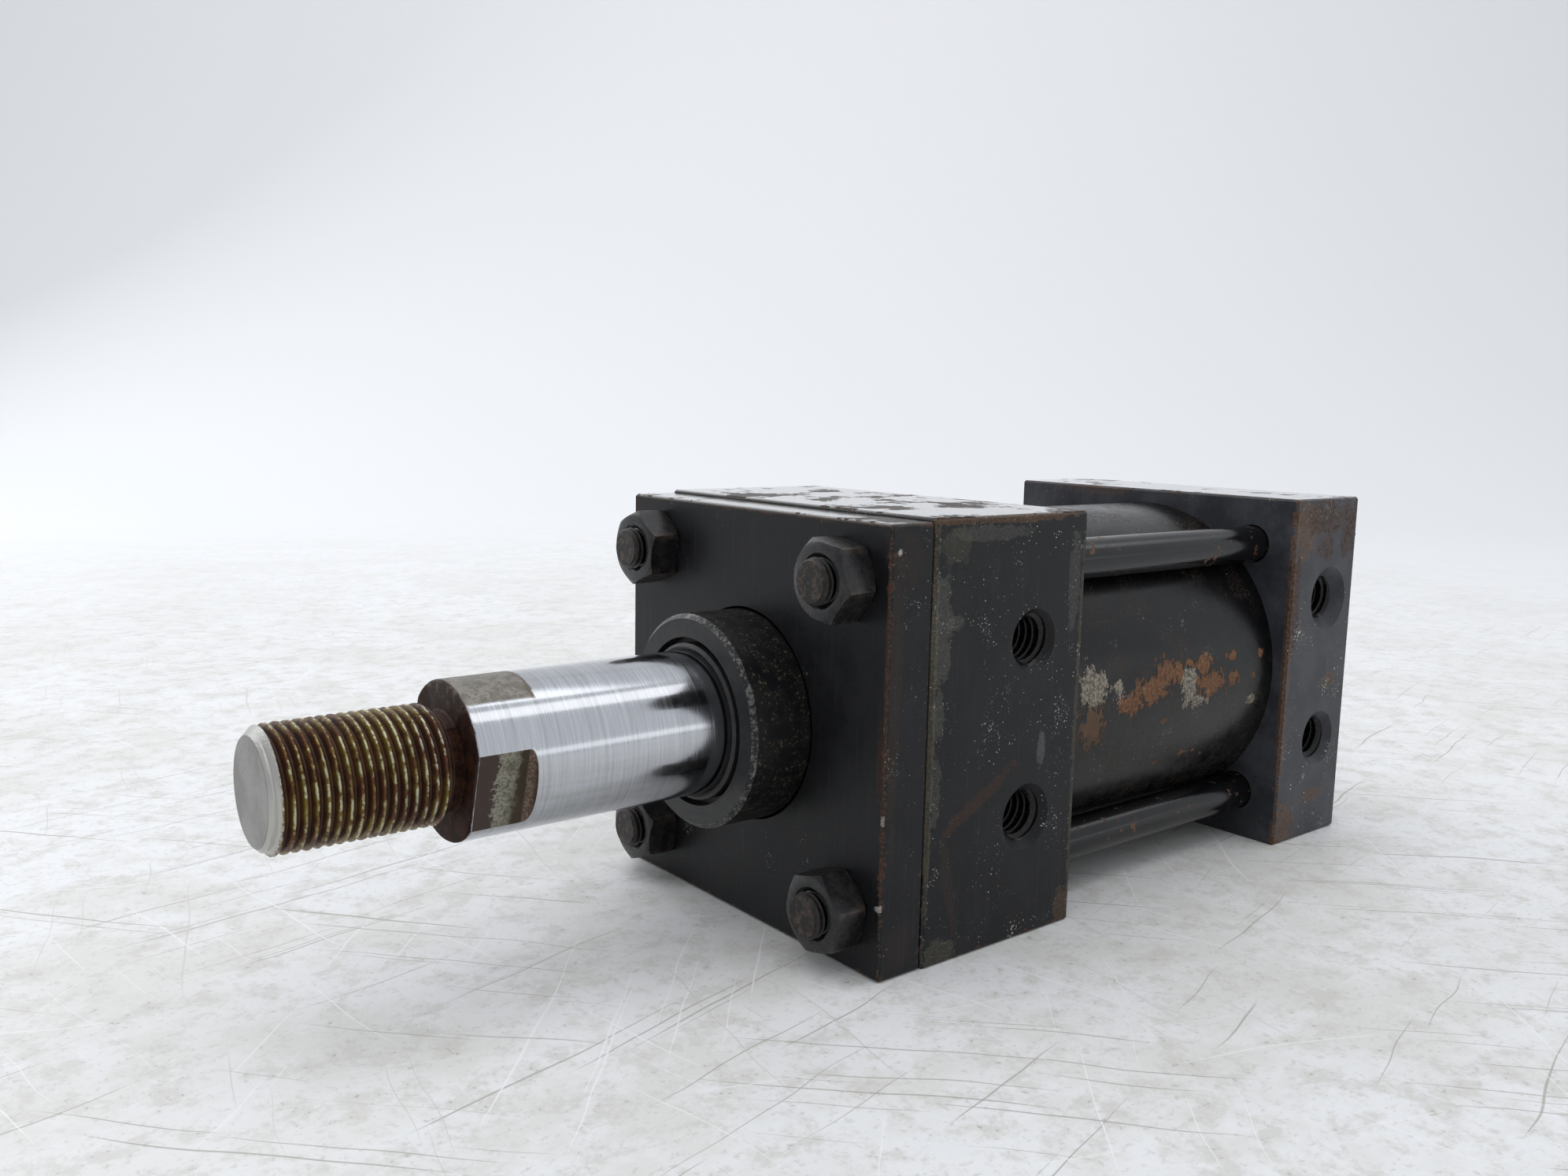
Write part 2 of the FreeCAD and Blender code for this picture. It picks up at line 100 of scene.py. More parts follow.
def build(name, points, faces, material, body, replaced, sharp):
    """Make one piece from points in millimetres, merge what coincides, and hang it on a body."""
    mesh = bpy.data.meshes.new(name)
    mesh.from_pydata([tuple(p) for p in np.asarray(points, float) * MM], [], faces)
    work = bmesh.new()
    work.from_mesh(mesh)
    bmesh.ops.remove_doubles(work, verts=work.verts, dist=SAME_POINT)
    bmesh.ops.dissolve_degenerate(work, edges=work.edges, dist=SAME_POINT / 2)
    bmesh.ops.recalc_face_normals(work, faces=work.faces)
    work.to_mesh(mesh)
    work.free()
    piece = smooth_piece(name, mesh, material)
    mesh.set_sharp_from_angle(angle=math.radians(sharp))
    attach(piece, body)
    if replaced:
        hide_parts(*replaced)
    return piece


def skin(grid, around=False):
    """The quads of a (rows, columns) grid of points; around closes the rows on each other."""
    rows, columns = grid
    faces = []
    last = rows if around else rows - 1
    for i in range(last):
        a = i * columns
        b = ((i + 1) % rows) * columns
        for j in range(columns - 1):
            faces.append((a + j, a + j + 1, b + j + 1, b + j))
    return faces


def lathe_points(x, radius, angles):
    """Points at x and radius, each (rows, columns), about the X axis; angles turn from +Y to +Z."""
    x, radius = np.broadcast_arrays(x, radius)
    turned = np.broadcast_to(angles, radius.shape)
    return np.stack([x, radius * np.cos(turned), radius * np.sin(turned)], axis=-1)


def angle_samples(count, extra=()):
    """Angles from 0 to a full turn, both ends included, with any extra ones put in."""
    base = np.linspace(0, TAU, count + 1)
    wanted = [a % TAU for a in extra]
    return np.unique(np.concatenate([base, wanted]).round(9))


class Thread:
    """A right-hand 60 degree thread about the X axis, as a radius for each place and angle."""

    # Depth, places on the profile, and the places of a turn's rows, as shares of the pitch
    DEPTH_SHARE = 0.613
    CREST_SHARE = 0.075
    SHOULDER_SHARE = 0.1425
    ROOT_SHARE = 0.41
    ROW_SHARES = (-0.5, -0.41, -0.25, -0.1425, -0.075, 0.0, 0.075, 0.1425, 0.25, 0.41)

    def __init__(self, pitch, major, start, wear=0.0):
        self.pitch = pitch
        self.major = major
        self.start = start
        self.wear = wear
        self.depth = self.DEPTH_SHARE * pitch
        half = pitch / 2
        crest = pitch * self.CREST_SHARE
        bend = pitch * self.SHOULDER_SHARE
        root = pitch * self.ROOT_SHARE
        self.u = [-half, -root, -bend, -crest, 0, crest, bend, root, half]
        low = major - self.depth
        edge = major - 0.10 * self.depth
        self.r = [low, low + 0.02, edge, major - 0.012, major, major - 0.012, edge, low + 0.02, low]

    def radius(self, x, angle):
        turns = (x - self.start) / self.pitch - angle / TAU
        u = (turns - np.round(turns)) * self.pitch
        radius = np.interp(u, self.u, self.r)
        worn = (
            np.sin(3.1 * x + 5 * angle) * np.sin(11 * angle + 0.7 * x) * np.sin(23 * angle - 1.9 * x)
        )
        crest = np.clip((radius - self.major + self.depth) / self.depth, 0, 1)
        return radius - self.wear * crest * np.clip(worn + 0.25, 0, 1)

    def rows(self, low, high, angles):
        """X of each helical row at each angle, held inside low..high."""
        first = math.floor((low - self.start) / self.pitch) - 1
        last = math.ceil((high - self.start) / self.pitch) + 1
        offsets = np.array(self.ROW_SHARES)
        turns = (np.arange(first, last + 1)[:, None] + offsets[None, :]).ravel()
        x = self.start + self.pitch * (turns[:, None] + angles[None, :] / TAU)
        x = np.clip(x, low, high)
        moving = (np.ptp(x, axis=1) > 1e-9) | (np.abs(np.diff(x[:, 0], prepend=low - 1)) > 1e-9)
        return x[moving]


# ---------------------------------------------------------------- shader graphs

# Places in a mix node's list of inputs and outputs, by the kind of value that it mixes
NUMBER_A, NUMBER_B, NUMBER_OUT = 2, 3, 0
COLOUR_A, COLOUR_B, COLOUR_OUT = 6, 7, 2


class Graph:
    """A material's nodes, written as sums.  Places are object coordinates in millimetres."""

    def __init__(self, name, **fixed):
        self.material = bpy.data.materials.new(name)
        self.material.use_nodes = True
        self.nodes = self.material.node_tree.nodes
        self.links = self.material.node_tree.links
        self.nodes.clear()
        out = self.nodes.new("ShaderNodeOutputMaterial")
        self.shader = self.nodes.new("ShaderNodeBsdfPrincipled")
        self.links.new(self.shader.outputs["BSDF"], out.inputs["Surface"])
        for socket, value in fixed.items():
            self.shader.inputs[socket.replace("_", " ")].default_value = value
        coordinates = self.nodes.new("ShaderNodeTexCoord")
        scaled = self.nodes.new("ShaderNodeVectorMath")
        scaled.operation = "SCALE"
        scaled.inputs["Scale"].default_value = 1 / MM
        self.links.new(coordinates.outputs["Object"], scaled.inputs[0])
        self.place = scaled.outputs[0]
        split = self.nodes.new("ShaderNodeSeparateXYZ")
        self.links.new(self.place, split.inputs[0])
        self.x, self.y, self.z = split.outputs

    def put(self, socket, value):
        if isinstance(value, bpy.types.NodeSocket):
            self.links.new(value, socket)
        elif isinstance(value, (tuple, list)) and socket.type == "RGBA" and len(value) == 3:
            socket.default_value = (*value, 1)
        else:
            socket.default_value = value

    def math(self, operation, *values):
        node = self.nodes.new("ShaderNodeMath")
        node.operation = operation
        for socket, value in zip(node.inputs, values):
            self.put(socket, value)
        return node.outputs[0]

    def add(self, a, b):
        return self.math("ADD", a, b)

    def sub(self, a, b):
        return self.math("SUBTRACT", a, b)

    def mul(self, a, b):
        return self.math("MULTIPLY", a, b)

    def unsigned(self, value):
        return self.math("ABSOLUTE", value)

    def length(self, a, b):
        return self.math("SQRT", self.add(self.mul(a, a), self.mul(b, b)))

    def swing(self, noise, amount):
        """A noise value as a push of half of amount either way."""
        return self.mul(self.sub(noise, 0.5), amount)

    def most(self, *values):
        total = values[0]
        for value in values[1:]:
            total = self.math("MAXIMUM", total, value)
        return total

    def least(self, *values):
        total = values[0]
        for value in values[1:]:
            total = self.math("MINIMUM", total, value)
        return total

    def step(self, value, low, high):
        """0 at low, 1 at high, smooth between; low may be the larger."""
        node = self.nodes.new("ShaderNodeMapRange")
        node.interpolation_type = "SMOOTHSTEP"
        if low > high:
            low, high = high, low
            node.inputs["To Min"].default_value = 1
            node.inputs["To Max"].default_value = 0
        self.put(node.inputs["Value"], value)
        node.inputs["From Min"].default_value = low
        node.inputs["From Max"].default_value = high
        return node.outputs[0]

    def scale(self, value, to_low, to_high, from_low=0.3, from_high=0.7):
        """A straight ramp from to_low to to_high while value goes from from_low to from_high."""
        node = self.nodes.new("ShaderNodeMapRange")
        self.put(node.inputs["Value"], value)
        node.inputs["From Min"].default_value = from_low
        node.inputs["From Max"].default_value = from_high
        node.inputs["To Min"].default_value = to_low
        node.inputs["To Max"].default_value = to_high
        return node.outputs[0]

    def vector(self, x, y, z):
        node = self.nodes.new("ShaderNodeCombineXYZ")
        for socket, value in zip(node.inputs, (x, y, z)):
            self.put(socket, value)
        return node.outputs[0]

    def moved(self, place, by):
        node = self.nodes.new("ShaderNodeVectorMath")
        node.operation = "ADD"
        self.links.new(place, node.inputs[0])
        node.inputs[1].default_value = by
        return node.outputs[0]

    def noise(self, per_mm, detail, rough, at=None, shift=0.0):
        """Noise with per_mm features in a millimetre; each shift gives a pattern of its own."""
        node = self.nodes.new("ShaderNodeTexNoise")
        node.inputs["Scale"].default_value = per_mm
        node.inputs["Detail"].default_value = detail
        node.inputs["Roughness"].default_value = rough
        place = self.place if at is None else at
        if shift:
            place = self.moved(place, (shift, -shift * 0.7, shift * 1.3))
        self.links.new(place, node.inputs["Vector"])
        return node.outputs["Fac"]

    def specks(self, per_mm, size, share, shift):
        """Round dots, one in some of the cells of a grid of points."""
        node = self.nodes.new("ShaderNodeTexVoronoi")
        node.inputs["Scale"].default_value = per_mm
        place = self.moved(self.place, (shift, shift * 0.3, -shift))
        self.links.new(place, node.inputs["Vector"])
        split = self.nodes.new("ShaderNodeSeparateColor")
        self.links.new(node.outputs["Color"], split.inputs[0])
        reach = self.mul(split.outputs[1], size * per_mm)
        uneven = self.swing(self.noise(3.0, 2, 0.5), size * per_mm * 1.4)
        near = self.step(self.add(self.sub(node.outputs["Distance"], reach), uneven), 0.0, -0.05)
        return self.mul(near, self.math("LESS_THAN", split.outputs[0], share))

    def oval(self, u, v, middle, reach):
        """Distance from middle, 1 on the oval with half-sizes reach."""
        du = self.mul(self.sub(u, middle[0]), 1 / reach[0])
        dv = self.mul(self.sub(v, middle[1]), 1 / reach[1])
        return self.length(du, dv)

    def mix(self, share, a, b):
        node = self.nodes.new("ShaderNodeMix")
        node.data_type = "RGBA"
        self.put(node.inputs["Factor"], share)
        self.put(node.inputs[COLOUR_A], a)
        self.put(node.inputs[COLOUR_B], b)
        return node.outputs[COLOUR_OUT]

    def blend(self, share, a, b):
        """a where share is 0 and b where it is 1, for plain numbers."""
        node = self.nodes.new("ShaderNodeMix")
        node.data_type = "FLOAT"
        self.put(node.inputs["Factor"], share)
        self.put(node.inputs[NUMBER_A], a)
        self.put(node.inputs[NUMBER_B], b)
        return node.outputs[NUMBER_OUT]

    def finish(self, colour, rough, metal=None, height=None):
        self.put(self.shader.inputs["Base Color"], colour)
        self.put(self.shader.inputs["Roughness"], rough)
        if metal is not None:
            self.put(self.shader.inputs["Metallic"], metal)
        if height is not None:
            bump = self.nodes.new("ShaderNodeBump")
            bump.inputs["Strength"].default_value = 1.0
            bump.inputs["Distance"].default_value = MM
            self.links.new(height, bump.inputs["Height"])
            self.links.new(bump.outputs["Normal"], self.shader.inputs["Normal"])
        return self.material


RUST_DARK = (0.030, 0.013, 0.008)
RUST_BROWN = (0.085, 0.040, 0.020)
RUST_TAN = (0.190, 0.105, 0.055)
OLIVE = (0.120, 0.110, 0.075)
GREY_SCUFF = (0.25, 0.26, 0.25)
SCUFF = (0.165, 0.165, 0.140)
WHITE_SPECK = (0.78, 0.77, 0.70)
PAINT = (0.0058, 0.0060, 0.0070)
PAINT_WORN = (0.0112, 0.0115, 0.0131)


def block_paint(name, x_low, x_high, y_half, z_low, z_high, seed, marks, pale):
    """Worn black paint on a square end, with rubbed edges and the marks that are its own."""
    g = Graph(name, IOR=1.31, Coat_Roughness=0.10, Coat_IOR=1.6)
    dx = g.least(g.sub(g.x, x_low), g.sub(x_high, g.x))
    dy = g.sub(y_half, g.unsigned(g.y))
    dz = g.least(g.sub(g.z, z_low), g.sub(z_high, g.z))
    total = g.add(g.add(dx, dy), dz)
    edge = g.sub(g.sub(total, g.least(dx, dy, dz)), g.most(dx, dy, dz))
    coarse = g.noise(0.11, 4, 0.6, shift=seed)
    middle = g.noise(0.45, 4, 0.65, shift=seed + 7)
    fine = g.noise(1.9, 3, 0.6, shift=seed + 13)
    grain = g.noise(6.0, 2, 0.5, shift=seed + 3)
    ragged = g.swing(middle, 3.2)
    ragged_fine = g.swing(fine, 1.2)
    rag = g.add(ragged, ragged_fine)

    # pale lightens the paint; on the rear cap it is painted light, standing in for the stronger light
    # that falls on the cap
    fresh = tuple(c * pale for c in PAINT)
    dulled = tuple(c * pale for c in PAINT_WORN)
    colour = g.mix(g.step(coarse, 0.35, 0.68), fresh, dulled)
    colour = g.mix(g.mul(g.step(fine, 0.52, 0.75), 0.35), colour, (0.022, 0.020, 0.018))
    rough = g.scale(coarse, 0.36, 0.50)
    height = g.add(g.mul(grain, 0.010), g.mul(fine, 0.020))

    # Edges: paint rubbed to olive-grey metal and rust, in patches
    spread = g.add(g.swing(middle, 6.0), g.swing(fine, 3.0))
    rub = g.step(g.add(edge, spread), 0.35, -0.15)
    rim = g.step(g.add(edge, ragged_fine), 0.34, 0.05)
    worn = g.most(g.mul(rub, 0.6), g.mul(rim, 0.7))
    tint = g.mix(g.step(middle, 0.4, 0.6), RUST_BROWN, OLIVE)
    tint = g.mix(g.step(fine, 0.45, 0.62), tint, RUST_DARK)
    colour = g.mix(worn, colour, tint)
    rough = g.blend(worn, rough, 0.55)
    height = g.sub(height, g.mul(worn, 0.035))

    # Each mark is an oval with a ragged outline, broken up by fine noise
    broken = g.scale(g.add(g.mul(fine, 0.6), g.mul(grain, 0.4)), 0.22, 1.0, 0.45, 0.55)
    outline = g.mul(rag, 0.62)
    for (u, v, region), spot, reach, shade, amount in marks(g):
        inside = g.step(g.add(g.oval(u, v, spot, reach), outline), 1.12, 0.88)
        mask = g.mul(g.mul(inside, g.mul(region, amount)), broken)
        mottled = g.mix(g.step(fine, 0.42, 0.6), shade, tuple(c * 0.45 for c in shade))
        colour = g.mix(mask, colour, mottled)
        rough = g.blend(mask, rough, 0.62)
        height = g.add(height, g.mul(mask, 0.02))

    return g, colour, rough, height, edge, (middle, fine)


def add_specks(g, colour, rough, height, region, seed, share):
    """White overspray dots and chips where region is high."""
    small = g.specks(1.54, 0.17, share, shift=seed)
    large = g.specks(0.33, 0.34, share * 0.3, shift=seed + 31)
    spray = g.mul(g.noise(2.4, 5, 0.75, shift=seed + 43), 0.8)
    spray = g.add(spray, g.mul(g.noise(0.16, 2, 0.5, shift=seed + 47), 0.4))
    spray = g.mul(g.step(spray, 0.738, 0.760), 0.9)
    dots = g.mul(g.most(small, large, spray), region)
    colour = g.mix(dots, colour, WHITE_SPECK)
    return colour, g.blend(dots, rough, 0.7), g.add(height, g.mul(dots, 0.03))


def face_mask(g, axis_value, plane, depth=0.7):
    """1 on the outer face at plane along one axis, 0 further than depth inside it."""
    return g.step(g.unsigned(g.sub(axis_value, plane)), depth, depth * 0.4)


def top_film(g, colour, rough, height, z_top, noises, bare_share, seed):
    """Glossy film on a top face, with ragged peeled places down to dull brown."""
    middle, fine = noises
    top = face_mask(g, g.z, z_top, 0.35)
    torn = g.add(g.mul(g.noise(0.085, 4, 0.62, shift=seed), 0.75), g.mul(middle, 0.25))
    bare = g.step(torn, bare_share + 0.012, bare_share)
    lip = g.step(g.unsigned(g.sub(torn, bare_share)), 0.014, 0.0)
    dull = g.mix(g.step(fine, 0.45, 0.6), (0.018, 0.011, 0.008), (0.046, 0.029, 0.020))
    colour = g.mix(g.mul(top, bare), colour, dull)
    colour = g.mix(g.mul(top, g.mul(lip, 0.5)), colour, RUST_TAN)
    film = g.mul(top, g.sub(1.0, bare))
    rough = g.blend(film, rough, g.scale(fine, 0.14, 0.26))
    g.put(g.shader.inputs["Coat Weight"], film)
    height = g.add(height, g.mul(film, 0.10))
    return colour, rough, height


def slanted(g, u, v, middle, degrees):
    """Coordinates along and across a slanted streak, measured from its middle."""
    c = math.cos(math.radians(degrees))
    w = math.sin(math.radians(degrees))
    du = g.sub(u, middle[0])
    dv = g.sub(v, middle[1])
    return g.add(g.mul(du, c), g.mul(dv, w)), g.sub(g.mul(dv, c), g.mul(du, w))


def head_marks(g):
    """Marks on the head, as coordinates and region, middle, half-sizes, colour and strength."""
    on_side = g.math("GREATER_THAN", g.y, 37.0)
    side = (g.x, g.z, on_side)
    smear = (*slanted(g, g.x, g.z, (-21.5, -10.9), 150.7), on_side)
    low_smear = (*slanted(g, g.x, g.z, (-15.0, -24.0), 78.0), on_side)
    return [
        (side, (-46.0, -35.0), (3.0, 3.6), RUST_TAN, 0.60),
        (side, (-13.4, -36.2), (4.4, 2.4), OLIVE, 0.7),
        (side, (-9.9, 4.0), (0.7, 38.0), OLIVE, 0.85),
        (side, (-11.6, 20.0), (2.2, 9.0), SCUFF, 0.55),
        (side, (-14.8, 20.5), (2.0, 1.2), SCUFF, 0.45),
        (side, (-11.4, 6.0), (1.5, 4.0), SCUFF, 0.45),
        (side, (-11.2, -8.0), (1.2, 6.0), SCUFF, 0.4),
        (side, (-28.0, 37.6), (18.0, 0.9), RUST_TAN, 0.75),
        (side, (-22.0, 35.2), (9.0, 1.4), SCUFF, 0.45),
        (side, (-46.9, 2.0), (0.7, 36.0), OLIVE, 0.8),
        (side, (-37.6, -4.2), (1.0, 3.2), GREY_SCUFF, 0.5),
        (side, (-14.0, 33.4), (4.0, 2.4), OLIVE, 0.5),
        (smear, (0.0, 0.0), (11.0, 1.3), RUST_BROWN, 0.65),
        (low_smear, (0.0, 0.0), (10.0, 1.2), RUST_BROWN, 0.3),
        (side, (-44.6, 26.0), (1.6, 9.0), SCUFF, 0.45),
    ]


def plate_marks(g):
    """Marks on the plate, in head_marks' form."""
    front = (g.y, g.z, g.math("GREATER_THAN", g.x, -0.4))
    side = (g.x, g.z, g.math("GREATER_THAN", g.y, 36.9))
    return [
        (front, (-36.6, 35.4), (1.8, 3.0), RUST_BROWN, 0.7),
        (front, (14.0, 37.3), (24.0, 0.6), RUST_BROWN, 0.6),
        (front, (37.5, 6.0), (0.55, 34.0), RUST_BROWN, 0.7),
        (front, (36.6, -1.0), (0.9, 7.0), RUST_BROWN, 0.6),
        (side, (-1.6, 10.0), (1.4, 24.0), RUST_BROWN, 0.30),
        (side, (-4.0, 31.5), (3.0, 4.5), RUST_BROWN, 0.25),
        (side, (-4.5, -33.0), (3.0, 3.5), RUST_BROWN, 0.25),
        (front, (37.4, -25.4), (1.0, 0.5), WHITE_SPECK, 0.8),
        (front, (37.5, -10.6), (0.4, 1.0), WHITE_SPECK, 0.5),
        (side, (-1.9, 33.0), (0.5, 0.5), WHITE_SPECK, 0.9),
    ]


def cap_marks(g):
    """Marks on the cap, in head_marks' form."""
    side = (g.x, g.z, g.math("GREATER_THAN", g.y, 37.0))
    front = (g.y, g.z, g.math("GREATER_THAN", g.x, -118.1))
    return [
        (side, (-118.1, 6.0), (1.0, 36.0), RUST_TAN, 0.85),
        (side, (-119.2, 16.0), (1.8, 12.0), RUST_BROWN, 0.9),
        (side, (-121.5, 32.0), (5.0, 6.0), RUST_TAN, 0.9),
        (side, (-129.5, 34.2), (8.0, 4.0), RUST_BROWN, 0.95),
        (side, (-139.5, 31.0), (3.0, 7.0), RUST_BROWN, 0.9),
        (side, (-130.0, 27.4), (3.6, 2.8), RUST_BROWN, 0.8),
        (side, (-135.4, -2.8), (3.2, 1.6), RUST_TAN, 0.7),
        (side, (-131.6, -29.0), (4.6, 1.5), RUST_TAN, 0.6),
        (side, (-120.6, -34.6), (4.2, 5.0), RUST_TAN, 0.9),
        (side, (-142.4, 0.0), (0.5, 36.0), OLIVE, 0.6),
        (front, (37.9, 0.0), (0.45, 38.0), RUST_BROWN, 0.6),
        (front, (-16.0, 37.2), (9.0, 1.2), RUST_TAN, 0.5),
    ]


def end_material(node, seed, marks, speck_share, film_share, pale):
    low, high = node_box(node)
    g, colour, rough, height, edge, noises = block_paint(
        node + "_paint", low[0], high[0], high[1], low[2], high[2], seed, marks, pale
    )
    side = g.math("GREATER_THAN", g.unsigned(g.y), high[1] - 0.7)
    near_edge = g.step(edge, 9.0, 1.0)
    patchy = g.step(g.noise(0.07, 2, 0.5, shift=seed + 19), 0.46, 0.60)
    region = g.mul(g.most(patchy, g.mul(near_edge, 0.45)), side)
    region = g.most(region, g.mul(face_mask(g, g.x, high[0]), g.mul(patchy, 0.45)))
    colour, rough, height = add_specks(g, colour, rough, height, region, seed, share=speck_share)
    upright = g.vector(g.mul(g.x, 1.6), g.mul(g.y, 1.6), g.mul(g.z, 0.05))
    streaks = g.noise(1.0, 3, 0.6, at=upright)
    colour = g.mix(g.mul(g.step(streaks, 0.55, 0.72), 0.35), colour, (0.030, 0.029, 0.028))
    colour, rough, height = top_film(g, colour, rough, height, high[2], noises, film_share, seed)
    return g.finish(colour, rough, height=height)


def hole_thread_material():
    g = Graph("tapped_steel", IOR=1.38)
    fine = g.noise(1.6, 3, 0.6)
    colour = g.mix(g.step(fine, 0.4, 0.62), (0.003, 0.003, 0.003), (0.014, 0.013, 0.012))
    return g.finish(colour, g.scale(fine, 0.16, 0.34), metal=0.2)


def tube_material():
    radius = node_box("cylinder_tube")[1][2]
    g = Graph("tube_paint", IOR=1.33)
    angle = g.math("ARCTAN2", g.z, g.y)
    arc = g.mul(angle, radius)
    coarse = g.noise(0.07, 3, 0.6, shift=3)
    middle = g.noise(0.34, 4, 0.65, shift=11)
    fine = g.noise(1.5, 3, 0.6, shift=5)
    grain = g.noise(5.0, 2, 0.5, shift=17)
    peel = g.noise(0.8, 2, 0.5, shift=27)

    colour = g.mix(g.step(coarse, 0.35, 0.65), (0.0028, 0.0029, 0.0033), (0.0055, 0.0055, 0.0058))
    rough = g.scale(middle, 0.20, 0.30)
    height = g.add(g.mul(peel, 0.012), g.mul(grain, 0.003))

    # Flaked places down to primer and down to rust, each as a middle (x, arc) and half-sizes
    primer_spots = [
        ((-55.6, 4.4), (3.6, 3.0)), ((-86.3, 1.2), (2.6, 4.0)), ((-91.0, -2.6), (2.0, 1.0)),
        ((-110.0, -4.8), (1.2, 0.8)), ((-64.0, 3.6), (1.2, 1.0)),
    ]
    rust_spots = [
        ((-55.8, -3.6), (3.8, 3.2)), ((-67.4, -0.6), (3.4, 2.0)), ((-73.6, 1.8), (3.8, 2.4)),
        ((-80.4, 4.0), (4.6, 2.8)), ((-95.0, 0.8), (5.2, 2.2)), ((-92.0, 5.4), (2.4, 2.2)),
        ((-102.6, 1.0), (1.8, 1.0)), ((-101.8, 5.6), (1.6, 0.8)), ((-113.0, 5.2), (0.9, 0.8)),
        ((-110.2, 0.5), (0.8, 0.8)), ((-81.0, -15.4), (1.6, 0.5)), ((-91.0, -14.4), (2.4, 0.5)),
        ((-79.1, -5.4), (0.9, 0.6)), ((-87.0, 5.6), (1.6, 1.0)),
    ]
    grained = g.vector(g.mul(g.x, 1.3), g.mul(g.y, 0.8), g.mul(g.z, 0.8))
    chunky = g.noise(0.30, 2, 0.5, at=grained, shift=33)
    jagged = g.noise(0.85, 4, 0.68, at=grained, shift=37)
    ragged = g.add(g.swing(chunky, 2.6), g.swing(jagged, 3.4))

    def field(spots):
        distances = [g.oval(g.x, arc, middle_spot, reach) for middle_spot, reach in spots]
        return g.add(g.least(*distances), ragged)

    primer_field = field(primer_spots)
    rust_field = field(rust_spots)
    flaked = g.step(g.least(primer_field, rust_field), 1.12, 1.04)
    primer = g.mix(g.step(fine, 0.42, 0.60), (0.115, 0.094, 0.070), (0.27, 0.25, 0.205))
    rust = g.mix(g.step(fine, 0.40, 0.60), (0.190, 0.086, 0.036), (0.090, 0.044, 0.024))
    rust = g.mix(g.step(middle, 0.56, 0.68), rust, (0.230, 0.130, 0.068))
    rust = g.mix(g.step(g.add(g.x, g.mul(middle, 4.0)), -59.0, -56.0), rust, (0.110, 0.062, 0.036))
    bare = g.step(g.sub(primer_field, rust_field), -0.25, 0.10)
    colour = g.mix(flaked, colour, g.mix(bare, primer, rust))
    rough = g.blend(flaked, rough, 0.7)
    height = g.sub(height, g.mul(flaked, 0.13))

    dust = g.mul(g.step(g.noise(0.12, 3, 0.6, shift=41), 0.5, 0.66), g.step(fine, 0.46, 0.6))
    colour = g.mix(g.mul(dust, 0.12), colour, RUST_TAN)
    # Painted reflection: the lower side of the tube is lightened in patches to stand in for the table
    # reflected in it
    painted_table_reflection = g.mul(g.step(arc, 4.0, -12.0), g.step(middle, 0.30, 0.62))
    colour = g.mix(g.mul(painted_table_reflection, 0.5), colour, (0.026, 0.023, 0.020))
    rough = g.blend(g.mul(dust, 0.6), rough, 0.6)
    band = g.mul(g.step(g.x, -52.5, -49.0), g.step(middle, 0.40, 0.56))
    colour = g.mix(g.mul(band, 0.6), colour, RUST_BROWN)
    sparse = g.mul(g.step(coarse, 0.46, 0.62), 0.45)
    colour, rough, height = add_specks(g, colour, rough, height, sparse, 8, share=0.06)
    return g.finish(colour, rough, height=height)


def tie_rod_material():
    g = Graph("tie_rod_paint", IOR=1.40)
    low, high = node_box("tie_rod_upper_mount")
    coarse = g.noise(0.10, 3, 0.6, shift=2)
    middle = g.noise(0.5, 4, 0.65, shift=6)
    fine = g.noise(2.0, 3, 0.6, shift=9)
    colour = g.mix(g.step(coarse, 0.35, 0.65), (0.0026, 0.0027, 0.0032), (0.0055, 0.0055, 0.0060))
    rough = g.scale(middle, 0.12, 0.20)
    spots = g.mul(g.step(g.add(middle, g.swing(coarse, 0.6)), 0.66, 0.70), 0.8)
    near_cap = g.mul(g.step(g.x, -108.0, -117.0), g.step(middle, 0.60, 0.64))
    spots = g.most(spots, near_cap)
    rust = g.mix(g.step(fine, 0.42, 0.6), (0.17, 0.080, 0.035), RUST_BROWN)
    colour = g.mix(spots, colour, rust)
    rough = g.blend(spots, rough, 0.65)
    height = g.add(g.mul(fine, 0.012), g.mul(spots, -0.03))
    end = g.most(g.step(g.x, high[0] - 1.9, high[0] - 1.2), g.step(g.x, low[0] + 1.9, low[0] + 1.2))
    front_face = g.step(g.x, high[0] - 0.3, high[0] - 0.05)
    rear_face = g.step(g.x, low[0] + 0.3, low[0] + 0.05)
    small = g.noise(1.3, 4, 0.7, shift=91)
    worn = g.mix(g.step(small, 0.46, 0.66), (0.008, 0.007, 0.007), (0.034, 0.022, 0.016))
    colour = g.mix(g.mul(end, 0.85), colour, worn)
    rubbed = g.mul(g.step(g.add(middle, g.swing(small, 0.6)), 0.46, 0.66), 0.7)
    rubbed = g.mul(g.most(front_face, rear_face), rubbed)
    colour = g.mix(rubbed, colour, (0.088, 0.060, 0.042))
    rough = g.blend(end, rough, 0.5)
    return g.finish(colour, rough, height=height)


